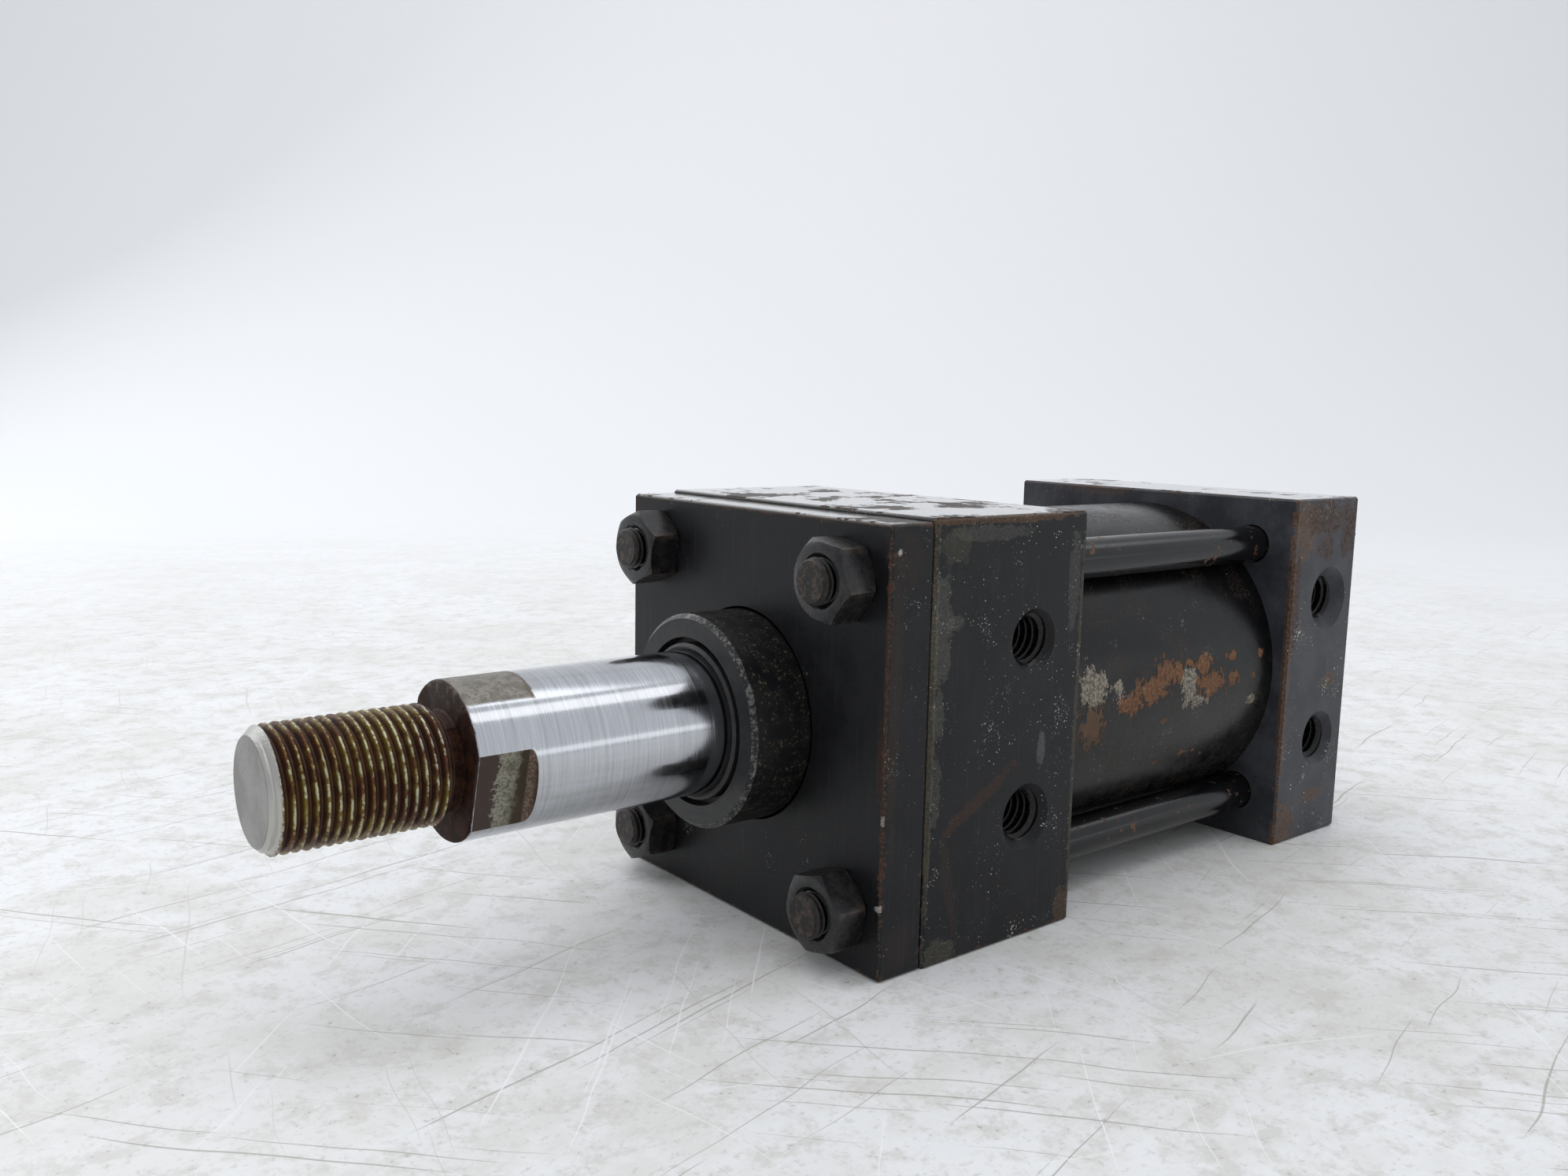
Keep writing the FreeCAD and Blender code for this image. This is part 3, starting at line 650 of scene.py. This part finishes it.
def nut_material():
    g = Graph("nut_oxide", IOR=1.45)
    middle = g.noise(0.5, 4, 0.6, shift=13)
    fine = g.noise(2.2, 3, 0.6, shift=29)
    colour = g.mix(g.step(middle, 0.38, 0.62), (0.0085, 0.0085, 0.0095), (0.0190, 0.0180, 0.0175))
    outer = g.sub(g.unsigned(g.y), TIE_ROD_OUT)
    upper = g.sub(g.unsigned(g.z), TIE_ROD_OUT)
    radius = g.length(outer, upper)
    corner = g.step(g.add(radius, g.swing(fine, 0.9)), 6.75, 7.1)
    corner = g.mul(corner, g.step(middle, 0.42, 0.58))
    worn = g.mul(g.most(corner, g.mul(g.step(middle, 0.56, 0.70), 0.4)), 0.5)
    brown = g.mix(g.step(fine, 0.4, 0.6), (0.050, 0.042, 0.036), (0.060, 0.034, 0.020))
    colour = g.mix(worn, colour, brown)
    rough = g.scale(fine, 0.22, 0.38)
    height = g.add(g.mul(fine, 0.02), g.mul(middle, 0.03))
    return g.finish(colour, rough, height=height)


def gland_material():
    g = Graph("gland_oxide", IOR=1.42)
    radius = g.length(g.y, g.z)
    angle = g.math("ARCTAN2", g.z, g.y)
    rings = g.noise(1.0, 2, 0.5, at=g.vector(g.mul(g.x, 5), g.mul(radius, 5), g.mul(angle, 0.5)))
    middle = g.noise(0.4, 4, 0.62, shift=51)
    fine = g.noise(1.9, 3, 0.62, shift=57)
    colour = g.mix(g.step(middle, 0.4, 0.62), (0.0045, 0.0045, 0.0052), (0.010, 0.0098, 0.0095))
    specks = g.mul(g.step(fine, 0.57, 0.66), g.step(middle, 0.40, 0.55))
    side = g.step(radius, 18.6, 18.9)
    colour = g.mix(g.mul(g.mul(specks, side), 0.55), colour, (0.16, 0.13, 0.08))
    rough = g.scale(rings, 0.32, 0.46)
    rim = g.mul(g.step(g.x, 10.95, 11.3), g.step(radius, 18.15, 18.35))
    rim = g.mul(rim, g.step(g.add(g.x, radius), 31.02, 30.88))
    bright = g.mul(rim, g.step(g.add(fine, g.swing(middle, 0.8)), 0.46, 0.60))
    colour = g.mix(g.mul(bright, 0.55), colour, (0.22, 0.21, 0.20))
    height = g.add(g.mul(rings, 0.006), g.mul(fine, 0.012))
    return g.finish(colour, rough, metal=g.mul(bright, 0.6), height=height)


def rod_material(shoulder, radius, flat_start):
    """Hard chrome, the stained patch on top, the grimy flats, and the rusty thread."""
    g = Graph("rod_chrome", IOR=1.5)
    around = g.math("ARCTAN2", g.z, g.y)
    degrees = g.mul(around, 360 / TAU)
    out = g.length(g.y, g.z)
    coarse = g.noise(0.12, 3, 0.6, shift=61)
    middle = g.noise(0.5, 4, 0.65, shift=67)
    fine = g.noise(2.2, 3, 0.62, shift=71)
    turned = g.vector(g.mul(g.x, 6), g.mul(around, 1.4), g.mul(out, 0.2))
    rings = g.noise(1.0, 3, 0.6, at=turned)
    wide_rings = g.noise(0.22, 2, 0.5, at=turned, shift=5)

    colour = g.mix(g.step(rings, 0.35, 0.65), (0.475, 0.488, 0.515), (0.575, 0.588, 0.615))
    colour = g.mix(g.mul(g.step(wide_rings, 0.5, 0.60), 0.22), colour, (0.34, 0.34, 0.35))
    rough = g.scale(rings, 0.09, 0.18)
    height = g.add(g.mul(rings, 0.0010), g.mul(fine, 0.0006))

    # Dull stained patch on the round top, back to a thin brown outline
    rag = g.add(g.swing(middle, 1.6), g.swing(fine, 0.5))
    back = g.add(g.sub(g.x, 46.3), rag)
    low_edge = g.add(g.sub(degrees, 53.0), g.mul(rag, 0.8))
    patch = g.mul(g.step(back, -0.15, 0.15), g.step(low_edge, -1.5, 1.5))
    patch = g.mul(patch, g.step(degrees, 122.0, 112.0))
    stain = g.mix(g.step(middle, 0.38, 0.62), (0.135, 0.118, 0.090), (0.235, 0.215, 0.175))
    stain = g.mix(g.mul(g.step(fine, 0.55, 0.66), 0.8), stain, (0.045, 0.030, 0.020))
    outline = g.mul(g.step(g.unsigned(back), 0.42, 0.1), g.step(low_edge, -2.5, 0.5))
    outline = g.mul(outline, g.step(degrees, 122.0, 112.0))
    colour = g.mix(g.mul(patch, 0.93), colour, stain)
    colour = g.mix(g.mul(outline, 0.75), colour, (0.11, 0.065, 0.035))
    metal = g.sub(1.0, g.mul(patch, 0.75))
    rough = g.blend(patch, rough, 0.48)
    height = g.add(height, g.mul(patch, g.mul(fine, 0.02)))

    # Wrench flats, told from the round rod by their smaller distance from the axis
    sunk = g.step(out, radius - 0.015, radius - 0.05)
    cut = g.mul(sunk, g.step(g.x, shoulder - 0.45, shoulder - 0.6))
    wall = g.mul(cut, g.step(g.x, flat_start + 0.1, flat_start - 0.25))
    ragged_x = g.add(g.x, g.add(g.swing(middle, 4.0), g.swing(fine, 2.4)))
    flat = g.mix(g.step(fine, 0.44, 0.60), (0.25, 0.245, 0.19), (0.13, 0.12, 0.09))
    flat = g.mix(g.step(ragged_x, 54.2, 54.6), flat, (0.048, 0.030, 0.024))
    flat = g.mix(g.step(g.add(ragged_x, g.mul(g.z, 0.10)), 51.4, 50.4), flat, (0.034, 0.022, 0.008))
    flat = g.mix(g.mul(g.step(middle, 0.52, 0.66), 0.5), flat, (0.050, 0.034, 0.018))
    colour = g.mix(cut, colour, flat)
    tan = g.mix(g.step(fine, 0.4, 0.6), (0.075, 0.046, 0.030), (0.16, 0.11, 0.08))
    colour = g.mix(wall, colour, tan)
    metal = g.mul(metal, g.sub(1.0, g.mul(cut, 0.6)))
    rough = g.blend(cut, rough, 0.52)
    height = g.add(height, g.mul(cut, g.mul(fine, 0.05)))

    # Shoulder's rim and face, and the relief behind the thread
    rim = g.step(g.add(g.x, g.mul(rag, 0.25)), shoulder - 0.55, shoulder - 0.30)
    rim = g.mul(rim, g.step(g.x, shoulder + 1.9, shoulder + 1.5))
    red = g.mix(g.step(middle, 0.40, 0.62), (0.024, 0.010, 0.007), (0.056, 0.023, 0.013))
    red = g.mix(g.mul(g.step(g.z, 7.5, 12.0), g.step(middle, 0.53, 0.60)), red, (0.10, 0.09, 0.065))
    red = g.mix(g.mul(g.step(fine, 0.64, 0.70), 0.6), red, (0.11, 0.075, 0.045))
    colour = g.mix(rim, colour, red)
    metal = g.mul(metal, g.sub(1.0, g.mul(rim, 0.15)))
    rough = g.blend(rim, rough, 0.72)
    height = g.add(height, g.mul(rim, g.mul(g.add(fine, middle), 0.09)))

    # Thread: rusty roots, brassy worn crests
    thread = g.step(g.x, shoulder + 1.5, shoulder + 1.8)
    level = g.add(out, g.swing(middle, 0.75))
    level = g.add(level, g.swing(fine, 0.35))
    crest = g.step(level, 9.42, 9.56)
    flank = g.step(level, 8.85, 9.22)
    tone = g.add(middle, g.swing(coarse, 1.4))
    root = g.mix(g.step(tone, 0.4, 0.6), (0.040, 0.013, 0.006), (0.070, 0.028, 0.008))
    side = g.mix(g.step(tone, 0.42, 0.58), (0.085, 0.033, 0.012), (0.150, 0.100, 0.018))
    top = g.mix(g.step(tone, 0.38, 0.62), (0.24, 0.18, 0.06), (0.42, 0.40, 0.27))
    grey = g.mul(g.step(g.add(g.x, g.swing(coarse, 22.0)), 70.0, 62.0), 0.55)
    top = g.mix(grey, top, (0.42, 0.44, 0.37))
    threaded = g.mix(crest, g.mix(flank, root, side), top)
    colour = g.mix(thread, colour, threaded)
    metal = g.blend(thread, metal, g.add(0.35, g.add(g.mul(flank, 0.3), g.mul(crest, 0.25))))
    rough = g.blend(thread, rough, g.sub(0.56, g.add(g.mul(crest, 0.08), g.mul(flank, 0.20))))
    height = g.add(height, g.mul(thread, g.mul(fine, 0.05)))

    # Tip: pale matte steel inside a bright chamfer
    tip_x = shoulder + THREAD_LENGTH
    face = g.step(g.x, tip_x - 0.12, tip_x - 0.03)
    bevel = g.step(g.add(g.x, g.swing(fine, 0.8)), tip_x - 1.75, tip_x - 1.35)
    pale = g.mix(g.step(coarse, 0.4, 0.6), (0.225, 0.212, 0.202), (0.30, 0.288, 0.278))
    pale = g.mix(g.mul(g.step(fine, 0.54, 0.68), 0.45), pale, (0.17, 0.15, 0.13))
    colour = g.mix(g.mul(bevel, 0.9), colour, (0.50, 0.50, 0.465))
    colour = g.mix(face, colour, pale)
    metal = g.blend(g.most(face, bevel), metal, 0.6)
    rough = g.blend(bevel, rough, 0.34)
    rough = g.blend(face, rough, 0.44)
    return g.finish(colour, rough, metal=metal, height=height)


def plain_material(name, low, high, rough, metal):
    g = Graph(name, IOR=1.5, Metallic=metal)
    mottle = g.noise(0.8, 4, 0.6)
    fine = g.noise(3.2, 3, 0.6)
    colour = g.mix(g.step(mottle, 0.35, 0.65), low, high)
    uneven = g.scale(fine, rough - 0.08, rough + 0.08)
    return g.finish(colour, uneven, height=g.mul(fine, 0.02))


# ---------------------------------------------------------------- pieces

ROD_LOW, ROD_HIGH = node_box("piston_rod")
ROD_RADIUS = ROD_HIGH[2]
THREAD_MAJOR = MOUNTS["rod_end_thread"]["dims"]["r_mm"]
THREAD_PITCH = INCH / 16
SHOULDER = ROD_HIGH[0] - THREAD_LENGTH
SHOULDER_ROUND = 0.5
RELIEF_RADIUS = 7.95
RELIEF_LENGTH = 1.6
RELIEF_CORNER = 0.25
TIP_CHAMFER = 1.5
SPIGOT_RADIUS = 9.525
# Wrench flats: their turn about the rod, distance from its axis, start, and end wall's radius
FLAT_TURN = math.radians(-15.0)
FLAT_HALF = 10.95
FLAT_START = SHOULDER - 8.6
FLAT_CORNER = 1.2
PISTON_FACE = node_box("piston")[1][0]


def rod_radius(x, angles):
    """The rod's outside at one x: round, but for the two flats with their rounded end walls."""
    if x < FLAT_START - FLAT_CORNER:
        return np.full_like(angles, ROD_RADIUS)
    inward = max(FLAT_START - x, 0.0)
    floor = FLAT_HALF + FLAT_CORNER - math.sqrt(max(FLAT_CORNER**2 - inward**2, 0.0))
    toward = np.abs(np.cos(angles - FLAT_TURN))
    return np.minimum(ROD_RADIUS, floor / np.maximum(toward, 1e-6))


def rod_piece(material):
    """The rod: spigot, round chromed length, wrench flats, rounded shoulder, relief and thread."""
    edge = math.acos(FLAT_HALF / ROD_RADIUS)
    flat_edges = [FLAT_TURN + s * edge + k * math.pi for s in (-1, 1) for k in (0, 1)]
    angles = angle_samples(256, flat_edges)
    thread_from = SHOULDER + RELIEF_LENGTH
    rows = [
        (ROD_LOW[0], 0.0), (ROD_LOW[0], SPIGOT_RADIUS),
        (PISTON_FACE, SPIGOT_RADIUS), (PISTON_FACE, ROD_RADIUS),
    ]
    rows = [(x, np.full_like(angles, r)) for x, r in rows]
    wall = FLAT_START - FLAT_CORNER
    for x in np.concatenate([np.linspace(PISTON_FACE + 1, wall - 0.02, 40), [wall - 0.01]]):
        rows.append((x, np.full_like(angles, ROD_RADIUS)))
    curve = FLAT_START - FLAT_CORNER * np.cos(np.linspace(0, math.pi / 2, 12))
    round_from = SHOULDER - SHOULDER_ROUND
    straight = np.linspace(FLAT_START, round_from, 20)[1:]
    for x in np.concatenate([curve, straight]):
        rows.append((x, rod_radius(x, angles)))
    for out, drop in ((0.15, 0.03), (0.35, 0.16), (0.47, 0.34), (SHOULDER_ROUND, SHOULDER_ROUND)):
        rounded = np.minimum(rod_radius(SHOULDER, angles), ROD_RADIUS - drop)
        rows.append((round_from + out, rounded))
    rows.append((SHOULDER, np.full_like(angles, RELIEF_RADIUS + RELIEF_CORNER)))
    rows.append((SHOULDER + RELIEF_CORNER, np.full_like(angles, RELIEF_RADIUS)))
    x = np.array([np.full_like(angles, x) for x, _ in rows])
    radius = np.array([r for _, r in rows])
    thread = Thread(THREAD_PITCH, THREAD_MAJOR, thread_from, wear=0.10)
    x_thread = thread.rows(thread_from, ROD_HIGH[0], angles)
    r_thread = thread.radius(x_thread, angles[None, :])
    tip_cone = THREAD_MAJOR - TIP_CHAMFER + (ROD_HIGH[0] - x_thread)
    run_out = RELIEF_RADIUS + 1.1 * (x_thread - thread_from)
    r_thread = np.minimum(np.minimum(r_thread, tip_cone), run_out)
    end = np.full((3, len(angles)), ROD_HIGH[0])
    tip_radius = THREAD_MAJOR - TIP_CHAMFER
    r_end = np.broadcast_to([[tip_radius], [tip_radius - 0.15], [0.0]], end.shape)
    x = np.vstack([x, x_thread, end])
    radius = np.vstack([radius, r_thread, r_end])
    points = lathe_points(x, radius, angles).reshape(-1, 3)
    faces = skin(x.shape)
    return build(
        "rod_detail", points, faces, material, "rod_assembly", ["piston_rod"], 32
    )


TIE_PITCH = INCH / 24
TIE_THREAD_LENGTH = 9.0
TIE_CHAMFER = 0.6
TIE_RUN_OUT = 0.6


def tie_rod_piece(corner, material):
    """A tie rod with a helical thread on each end."""
    name = "tie_rod_" + corner
    low, high = node_box(name)
    middle = (low + high) / 2
    major = (high[2] - low[2]) / 2
    reach = TIE_THREAD_LENGTH
    angles = angle_samples(72)

    def ring(x, radius):
        return np.full((1, len(angles)), x), np.full((1, len(angles)), radius)

    def threaded(start, end, tip):
        thread = Thread(TIE_PITCH, major, start, wear=0.05)
        x = thread.rows(start, end, angles)
        r = thread.radius(x, angles[None, :])
        r = np.minimum(r, slim + np.abs(x - tip))
        inner = end if tip == start else start
        return x, np.minimum(r, major - thread.depth + np.abs(x - inner))

    slim = major - TIE_CHAMFER
    shank = [ring(low[0] + reach + TIE_RUN_OUT, major)]
    shank += [ring(x, major) for x in np.linspace(low[0] + reach + 4, high[0] - reach - 4, 30)]
    shank += [ring(high[0] - reach - TIE_RUN_OUT, major)]
    rows = [ring(low[0], 0.0), ring(low[0], slim), threaded(low[0], low[0] + reach, low[0])]
    rows += shank + [threaded(high[0] - reach, high[0], high[0])]
    rows += [ring(high[0], slim), ring(high[0], 0.0)]
    x = np.vstack([r[0] for r in rows])
    radius = np.vstack([r[1] for r in rows])
    points = lathe_points(x, radius, angles).reshape(-1, 3) + (0, middle[1], middle[2])
    faces = skin(x.shape)
    return build(name + "_detail", points, faces, material, "housing", [name], 34)


# Half of a nut's width over its flats and over its rubbed corners, and its bore and mouth radii
NUT_FLAT = 6.35
NUT_CORNER = 7.27
NUT_BORE = 3.98
NUT_MOUTH = 4.6


def nut_piece(name, turn, outward, material):
    """A hex nut with 30 degree chamfers, rubbed corners and a sunk thread mouth."""
    low, high = node_box(name)
    middle = (low + high) / 2
    turn = math.radians(turn)
    corner_angles = [turn + k * math.pi / 3 + s for k in range(6) for s in (-0.035, 0, 0.035)]
    angles = angle_samples(96, corner_angles)
    sector = np.mod(angles - turn, math.pi / 3) - math.pi / 6
    hexagon = np.minimum(NUT_FLAT / np.cos(sector), NUT_CORNER)
    face = NUT_FLAT * 0.985
    drop = (hexagon - face) * math.tan(math.radians(30))
    height = high[0] - low[0]
    ones = np.ones_like(angles)
    rows = [
        (0.0 * ones, NUT_BORE * ones),
        (0.0 * ones, face * ones),
        (drop, hexagon),
        (height - drop, hexagon),
        (height - drop * 0.5, (hexagon + face) / 2 + 0.01),
        (height * ones, face * ones),
        (height * ones, NUT_MOUTH * ones),
        ((height - (NUT_MOUTH - NUT_BORE)) * ones, NUT_BORE * ones),
    ]
    x = np.array([r[0] for r in rows])
    if not outward:
        x = height - x
    radius = np.array([r[1] for r in rows])
    points = lathe_points(x + low[0], radius, angles).reshape(-1, 3) + (0, middle[1], middle[2])
    faces = skin(x.shape, around=True)
    return build(name + "_detail", points, faces, material, "housing", [name], 40)


def hole_thread(name, centre, side, major, pitch, sink, depth, material):
    """The threads cut in a tapped hole: a thin ring of them, let into the hole's wall."""
    angles = angle_samples(96)
    inside = Thread(pitch, major, 0.0)
    s = inside.rows(sink, depth, angles)
    ridge = 2 * major - inside.depth - inside.radius(s, angles[None, :])
    open_end = major + 0.02 - 0.9 * (s - sink)
    far_end = major + 0.02 - 1.2 * (depth - s)
    radius = np.maximum(ridge, np.maximum(open_end, far_end))
    back = major + 0.12
    ring = np.full((1, len(angles)), 1.0)
    s = np.vstack([s, depth * ring, sink * ring])
    radius = np.vstack([radius, back * ring, back * ring])
    points = np.stack(
        [
            centre[0] + radius * np.cos(angles) * side,
            centre[1] - side * s,
            centre[2] + radius * np.sin(angles),
        ],
        axis=-1,
    ).reshape(-1, 3)
    return build(name, points, skin(s.shape, around=True), material, "housing", (), 36)


# ---------------------------------------------------------------- materials on CAD nodes

def dress(node, material):
    """Put one material over the whole of a CAD node."""
    slots = NODES[node].data.materials
    if len(slots) == 0:
        slots.append(material)
    for i in range(len(slots)):
        slots[i] = material


# Seed, marks, share of specks, share of bare film, and how much paler than the plain paint (on the
# rear cap this paleness is painted light)
end_looks = {
    "retainer_plate": (3.0, plate_marks, 0.04, 0.45, 1.0),
    "front_head": (17.0, head_marks, 0.30, 0.46, 1.0),
    "rear_cap": (29.0, cap_marks, 0.10, 0.42, 5.6),
}
for node, (seed, marks, speck_share, film_share, pale) in end_looks.items():
    dress(node, end_material(node, seed, marks, speck_share, film_share, pale))

dress("cylinder_tube", tube_material())
dress("rod_gland", gland_material())
seals = (
    "rod_wiper", "rod_seal", "gland_o_ring", "piston_o_ring", "piston_seal_front", "piston_seal_rear",
)
# Nodes, darker and lighter colours, roughness and metalness of each plain finish
plain_looks = {
    "seal_rubber": (seals, (0.008, 0.008, 0.009), (0.018, 0.017, 0.016), 0.52, 0.0),
    "bearing_bronze": (["rod_bushing"], (0.42, 0.26, 0.10), (0.56, 0.36, 0.16), 0.34, 0.9),
    "piston_iron": (["piston"], (0.10, 0.10, 0.10), (0.17, 0.17, 0.165), 0.48, 0.7),
    "bare_steel": (["piston_nut"], (0.22, 0.22, 0.21), (0.36, 0.36, 0.35), 0.38, 0.9),
    "band_plastic": (["piston_wear_band"], (0.09, 0.055, 0.03), (0.14, 0.09, 0.05), 0.5, 0.0),
    "gasket_fibre": (
        ["head_tube_gasket", "cap_tube_gasket"], (0.12, 0.11, 0.08), (0.2, 0.18, 0.14), 0.75, 0.0,
    ),
}
for name, (nodes, low, high, rough, metal) in plain_looks.items():
    finish = plain_material(name, low, high, rough, metal)
    for node in nodes:
        dress(node, finish)

rod_piece(rod_material(SHOULDER, ROD_RADIUS, FLAT_START))
tie_paint = tie_rod_material()
oxide = nut_material()
tapped = hole_thread_material()
# Each corner's turns in degrees for the nut at the head and the one behind the cap
nut_turns = {
    "upper_mount": (50, 12), "upper_port": (22, 41), "lower_port": (21, 5), "lower_mount": (15, 33),
}
for corner, (head_turn, cap_turn) in nut_turns.items():
    tie_rod_piece(corner, tie_paint)
    nut_piece("head_nut_" + corner, head_turn, True, oxide)
    nut_piece("cap_nut_" + corner, cap_turn, False, oxide)

pattern = MOUNTS["side_tapped_mount"]
half_x = pattern["dims"]["spacing_x_mm"] / 2
half_z = pattern["dims"]["spacing_y_mm"] / 2
face_y = node_box("front_head")[1][1]
major = pattern["dims"]["hole_r_mm"]
# Each tapped hole's end and height, with the width of its countersink
sinks = {("head", 1): 11.2, ("head", -1): 12.0, ("cap", 1): 14.0, ("cap", -1): 12.5}
for (end, up), mouth in sinks.items():
    centre_x = pattern["pos_m"][0] / MM + (half_x if end == "head" else -half_x)
    centre = (centre_x, face_y, up * half_z)
    name = "{}_{}_hole_thread".format(end, "upper" if up > 0 else "lower")
    hole_thread(name, centre, 1, major, INCH / 16, mouth / 2 - major, 14.5, tapped)
for end in ("head", "cap"):
    port = MOUNTS[end + "_port"]
    centre = (port["pos_m"][0] / MM, -face_y, 0)
    radius = port["dims"]["r_mm"]
    hole_thread(end + "_port_thread", centre, -1, radius, INCH / 18, 0.8, 12.5, tapped)

# ---------------------------------------------------------------- floor, light, camera

# The photograph's camera, fitted to the cylinder's edges
VIEW_AT = Vector((0.13755, 0.182966, 0.054846))
VIEW_TURN = tuple(math.radians(a) for a in (82.086, -1.165, 141.507))
floor_z = cad_box[0][2]


def floor_material():
    """A pale table with faint stains and fine scratches, and a plain backdrop behind it."""
    g = Graph("floor", IOR=1.45)
    away = g.length(g.x, g.y)
    floor = floor_z / MM
    level = g.mul(g.step(g.z, floor + 40.0, floor + 4.0), g.step(away, 900.0, 150.0))
    wide = g.noise(0.012, 3, 0.6, shift=1)
    middle = g.noise(0.045, 5, 0.7, shift=2)
    small = g.noise(0.16, 5, 0.75, shift=9)
    fine = g.noise(0.7, 4, 0.7, shift=3)
    plain = (0.86, 0.86, 0.865)
    colour = g.mix(g.mul(g.step(wide, 0.40, 0.65), level), plain, (0.80, 0.798, 0.785))
    stains = (
        (g.step(middle, 0.44, 0.62), 0.65, (0.74, 0.73, 0.69)),
        (g.step(small, 0.47, 0.64), 0.65, (0.64, 0.625, 0.58)),
        (g.step(fine, 0.55, 0.68), 0.50, (0.55, 0.535, 0.50)),
        (g.mul(g.step(fine, 0.60, 0.66), g.step(small, 0.54, 0.62)), 0.60, (0.40, 0.37, 0.33)),
    )
    for mask, share, shade in stains:
        colour = g.mix(g.mul(g.mul(mask, share), level), colour, shade)
    # Direction in degrees, seed, scarcity and colour of each set of scratches
    scratches = (
        (12, 5, 0.60, (0.40, 0.37, 0.34)), (47, 11, 0.62, (0.94, 0.94, 0.94)),
        (78, 19, 0.62, (0.64, 0.62, 0.59)), (101, 29, 0.61, (0.94, 0.94, 0.94)),
        (133, 37, 0.60, (0.38, 0.35, 0.32)), (160, 43, 0.62, (0.92, 0.92, 0.92)),
    )
    bent = g.swing(wide, 12.0)
    for degrees, seed, start, shade in scratches:
        c = math.cos(math.radians(degrees))
        w = math.sin(math.radians(degrees))
        along = g.add(g.mul(g.x, c * 0.011), g.mul(g.y, w * 0.011))
        across = g.mul(g.add(g.sub(g.mul(g.y, c), g.mul(g.x, w)), bent), 1.15)
        streak = g.noise(1.0, 1, 0.5, at=g.vector(along, across, float(seed)))
        line = g.mul(g.step(streak, start + 0.095, start + 0.13), level)
        colour = g.mix(g.mul(line, 0.70), colour, shade)
    rough = g.scale(middle, 0.45, 0.6)
    return g.finish(colour, rough, height=g.mul(g.mul(fine, level), 0.03))


# Metres from the origin: where the floor starts and its backdrop stands, and the sweep between
COVE_NEAR = -1.6
COVE_FAR = 1.7
COVE_BEND = 0.9
COVE_TALL = 1.9
COVE_HALF = 2.6
COVE_COLUMNS = 9


def cove(material):
    """Floor that sweeps up behind the object into a backdrop square to the camera's view."""
    facing = Euler(VIEW_TURN).to_matrix() @ Vector((0, 0, -1))
    facing = Vector((facing.x, facing.y, 0)).normalized()
    across = Vector((-facing.y, facing.x, 0))
    flat = COVE_FAR - COVE_BEND
    profile = [(along, 0.0) for along in np.linspace(COVE_NEAR, flat, 12)]
    for a in np.linspace(0, math.pi / 2, 24)[1:]:
        profile.append((flat + COVE_BEND * math.sin(a), COVE_BEND * (1 - math.cos(a))))
    profile.append((COVE_FAR, COVE_TALL))
    points = []
    for along, up in profile:
        for w in np.linspace(-COVE_HALF, COVE_HALF, COVE_COLUMNS):
            point = facing * along + across * w
            points.append((point.x, point.y, floor_z + up))
    faces = skin((len(profile), COVE_COLUMNS))
    mesh = bpy.data.meshes.new("floor")
    mesh.from_pydata(points, [], faces)
    piece = smooth_piece("floor", mesh, material)


def soft_light(name, place, target, size, power, colour):
    """A rectangular lamp aimed at target, its first size measured as near to X as it can be."""
    lamp = bpy.data.lights.new(name, "AREA")
    lamp.shape = "RECTANGLE"
    lamp.size, lamp.size_y = size
    lamp.energy = power
    lamp.color = colour
    back = (Vector(place) - Vector(target)).normalized()
    long = (Vector((1, 0, 0)) - back * back.x).normalized()
    holder = new_object(name, lamp)
    holder.location = place
    holder.rotation_euler = Matrix((long, back.cross(long), back)).transposed().to_euler()


cove(floor_material())
world = bpy.data.worlds.new("studio")
world.use_nodes = True
background = world.node_tree.nodes["Background"]
background.inputs["Color"].default_value = (0.92, 0.95, 1.0, 1)
sky = world.node_tree.nodes.new("ShaderNodeTexCoord")
split = world.node_tree.nodes.new("ShaderNodeSeparateXYZ")
dim = world.node_tree.nodes.new("ShaderNodeMapRange")
dim.interpolation_type = "SMOOTHSTEP"
for socket, value in (("From Min", 0.25), ("From Max", 0.85), ("To Min", 0.82), ("To Max", 0.52)):
    dim.inputs[socket].default_value = value
world.node_tree.links.new(sky.outputs["Generated"], split.inputs[0])
world.node_tree.links.new(split.outputs[0], dim.inputs["Value"])
world.node_tree.links.new(dim.outputs[0], background.inputs["Strength"])
bpy.context.scene.world = world

# Name, place, target, size, watts and colour of each lamp
soft_light("key", (-0.60, 0.36, 0.98), (-0.05, 0.0, 0.0), (1.2, 0.30), 1.12, (1.0, 0.99, 0.97))
soft_light("left_wash", (0.35, -1.20, 0.70), (-0.05, 0.0, 0.0), (1.0, 0.8), 3.7, (0.97, 0.98, 1.0))
soft_light("right_strip", (-0.62, 1.08, 0.12), (0.0, 0.0, 0.0), (1.1, 0.14), 0.30, (1.0, 1.0, 1.0))
soft_light("overhead", (0.55, 0.15, 1.25), (0.12, 0.05, -0.04), (1.2, 1.2), 2.6, (1.0, 1.0, 1.0))
soft_light("backdrop_wash", (-0.2, -0.35, 1.5), (-0.9, -1.2, 0.1), (1.6, 0.8), 5.4, (0.97, 0.985, 1.0))

camera = bpy.data.cameras.new("view")
camera.sensor_width = 36.0
camera.lens = 29.486
camera.clip_start = 0.01
holder = new_object("view", camera)
holder.location = VIEW_AT
holder.rotation_euler = VIEW_TURN
bpy.context.scene.camera = holder
bpy.context.scene.view_settings.view_transform = "Standard"
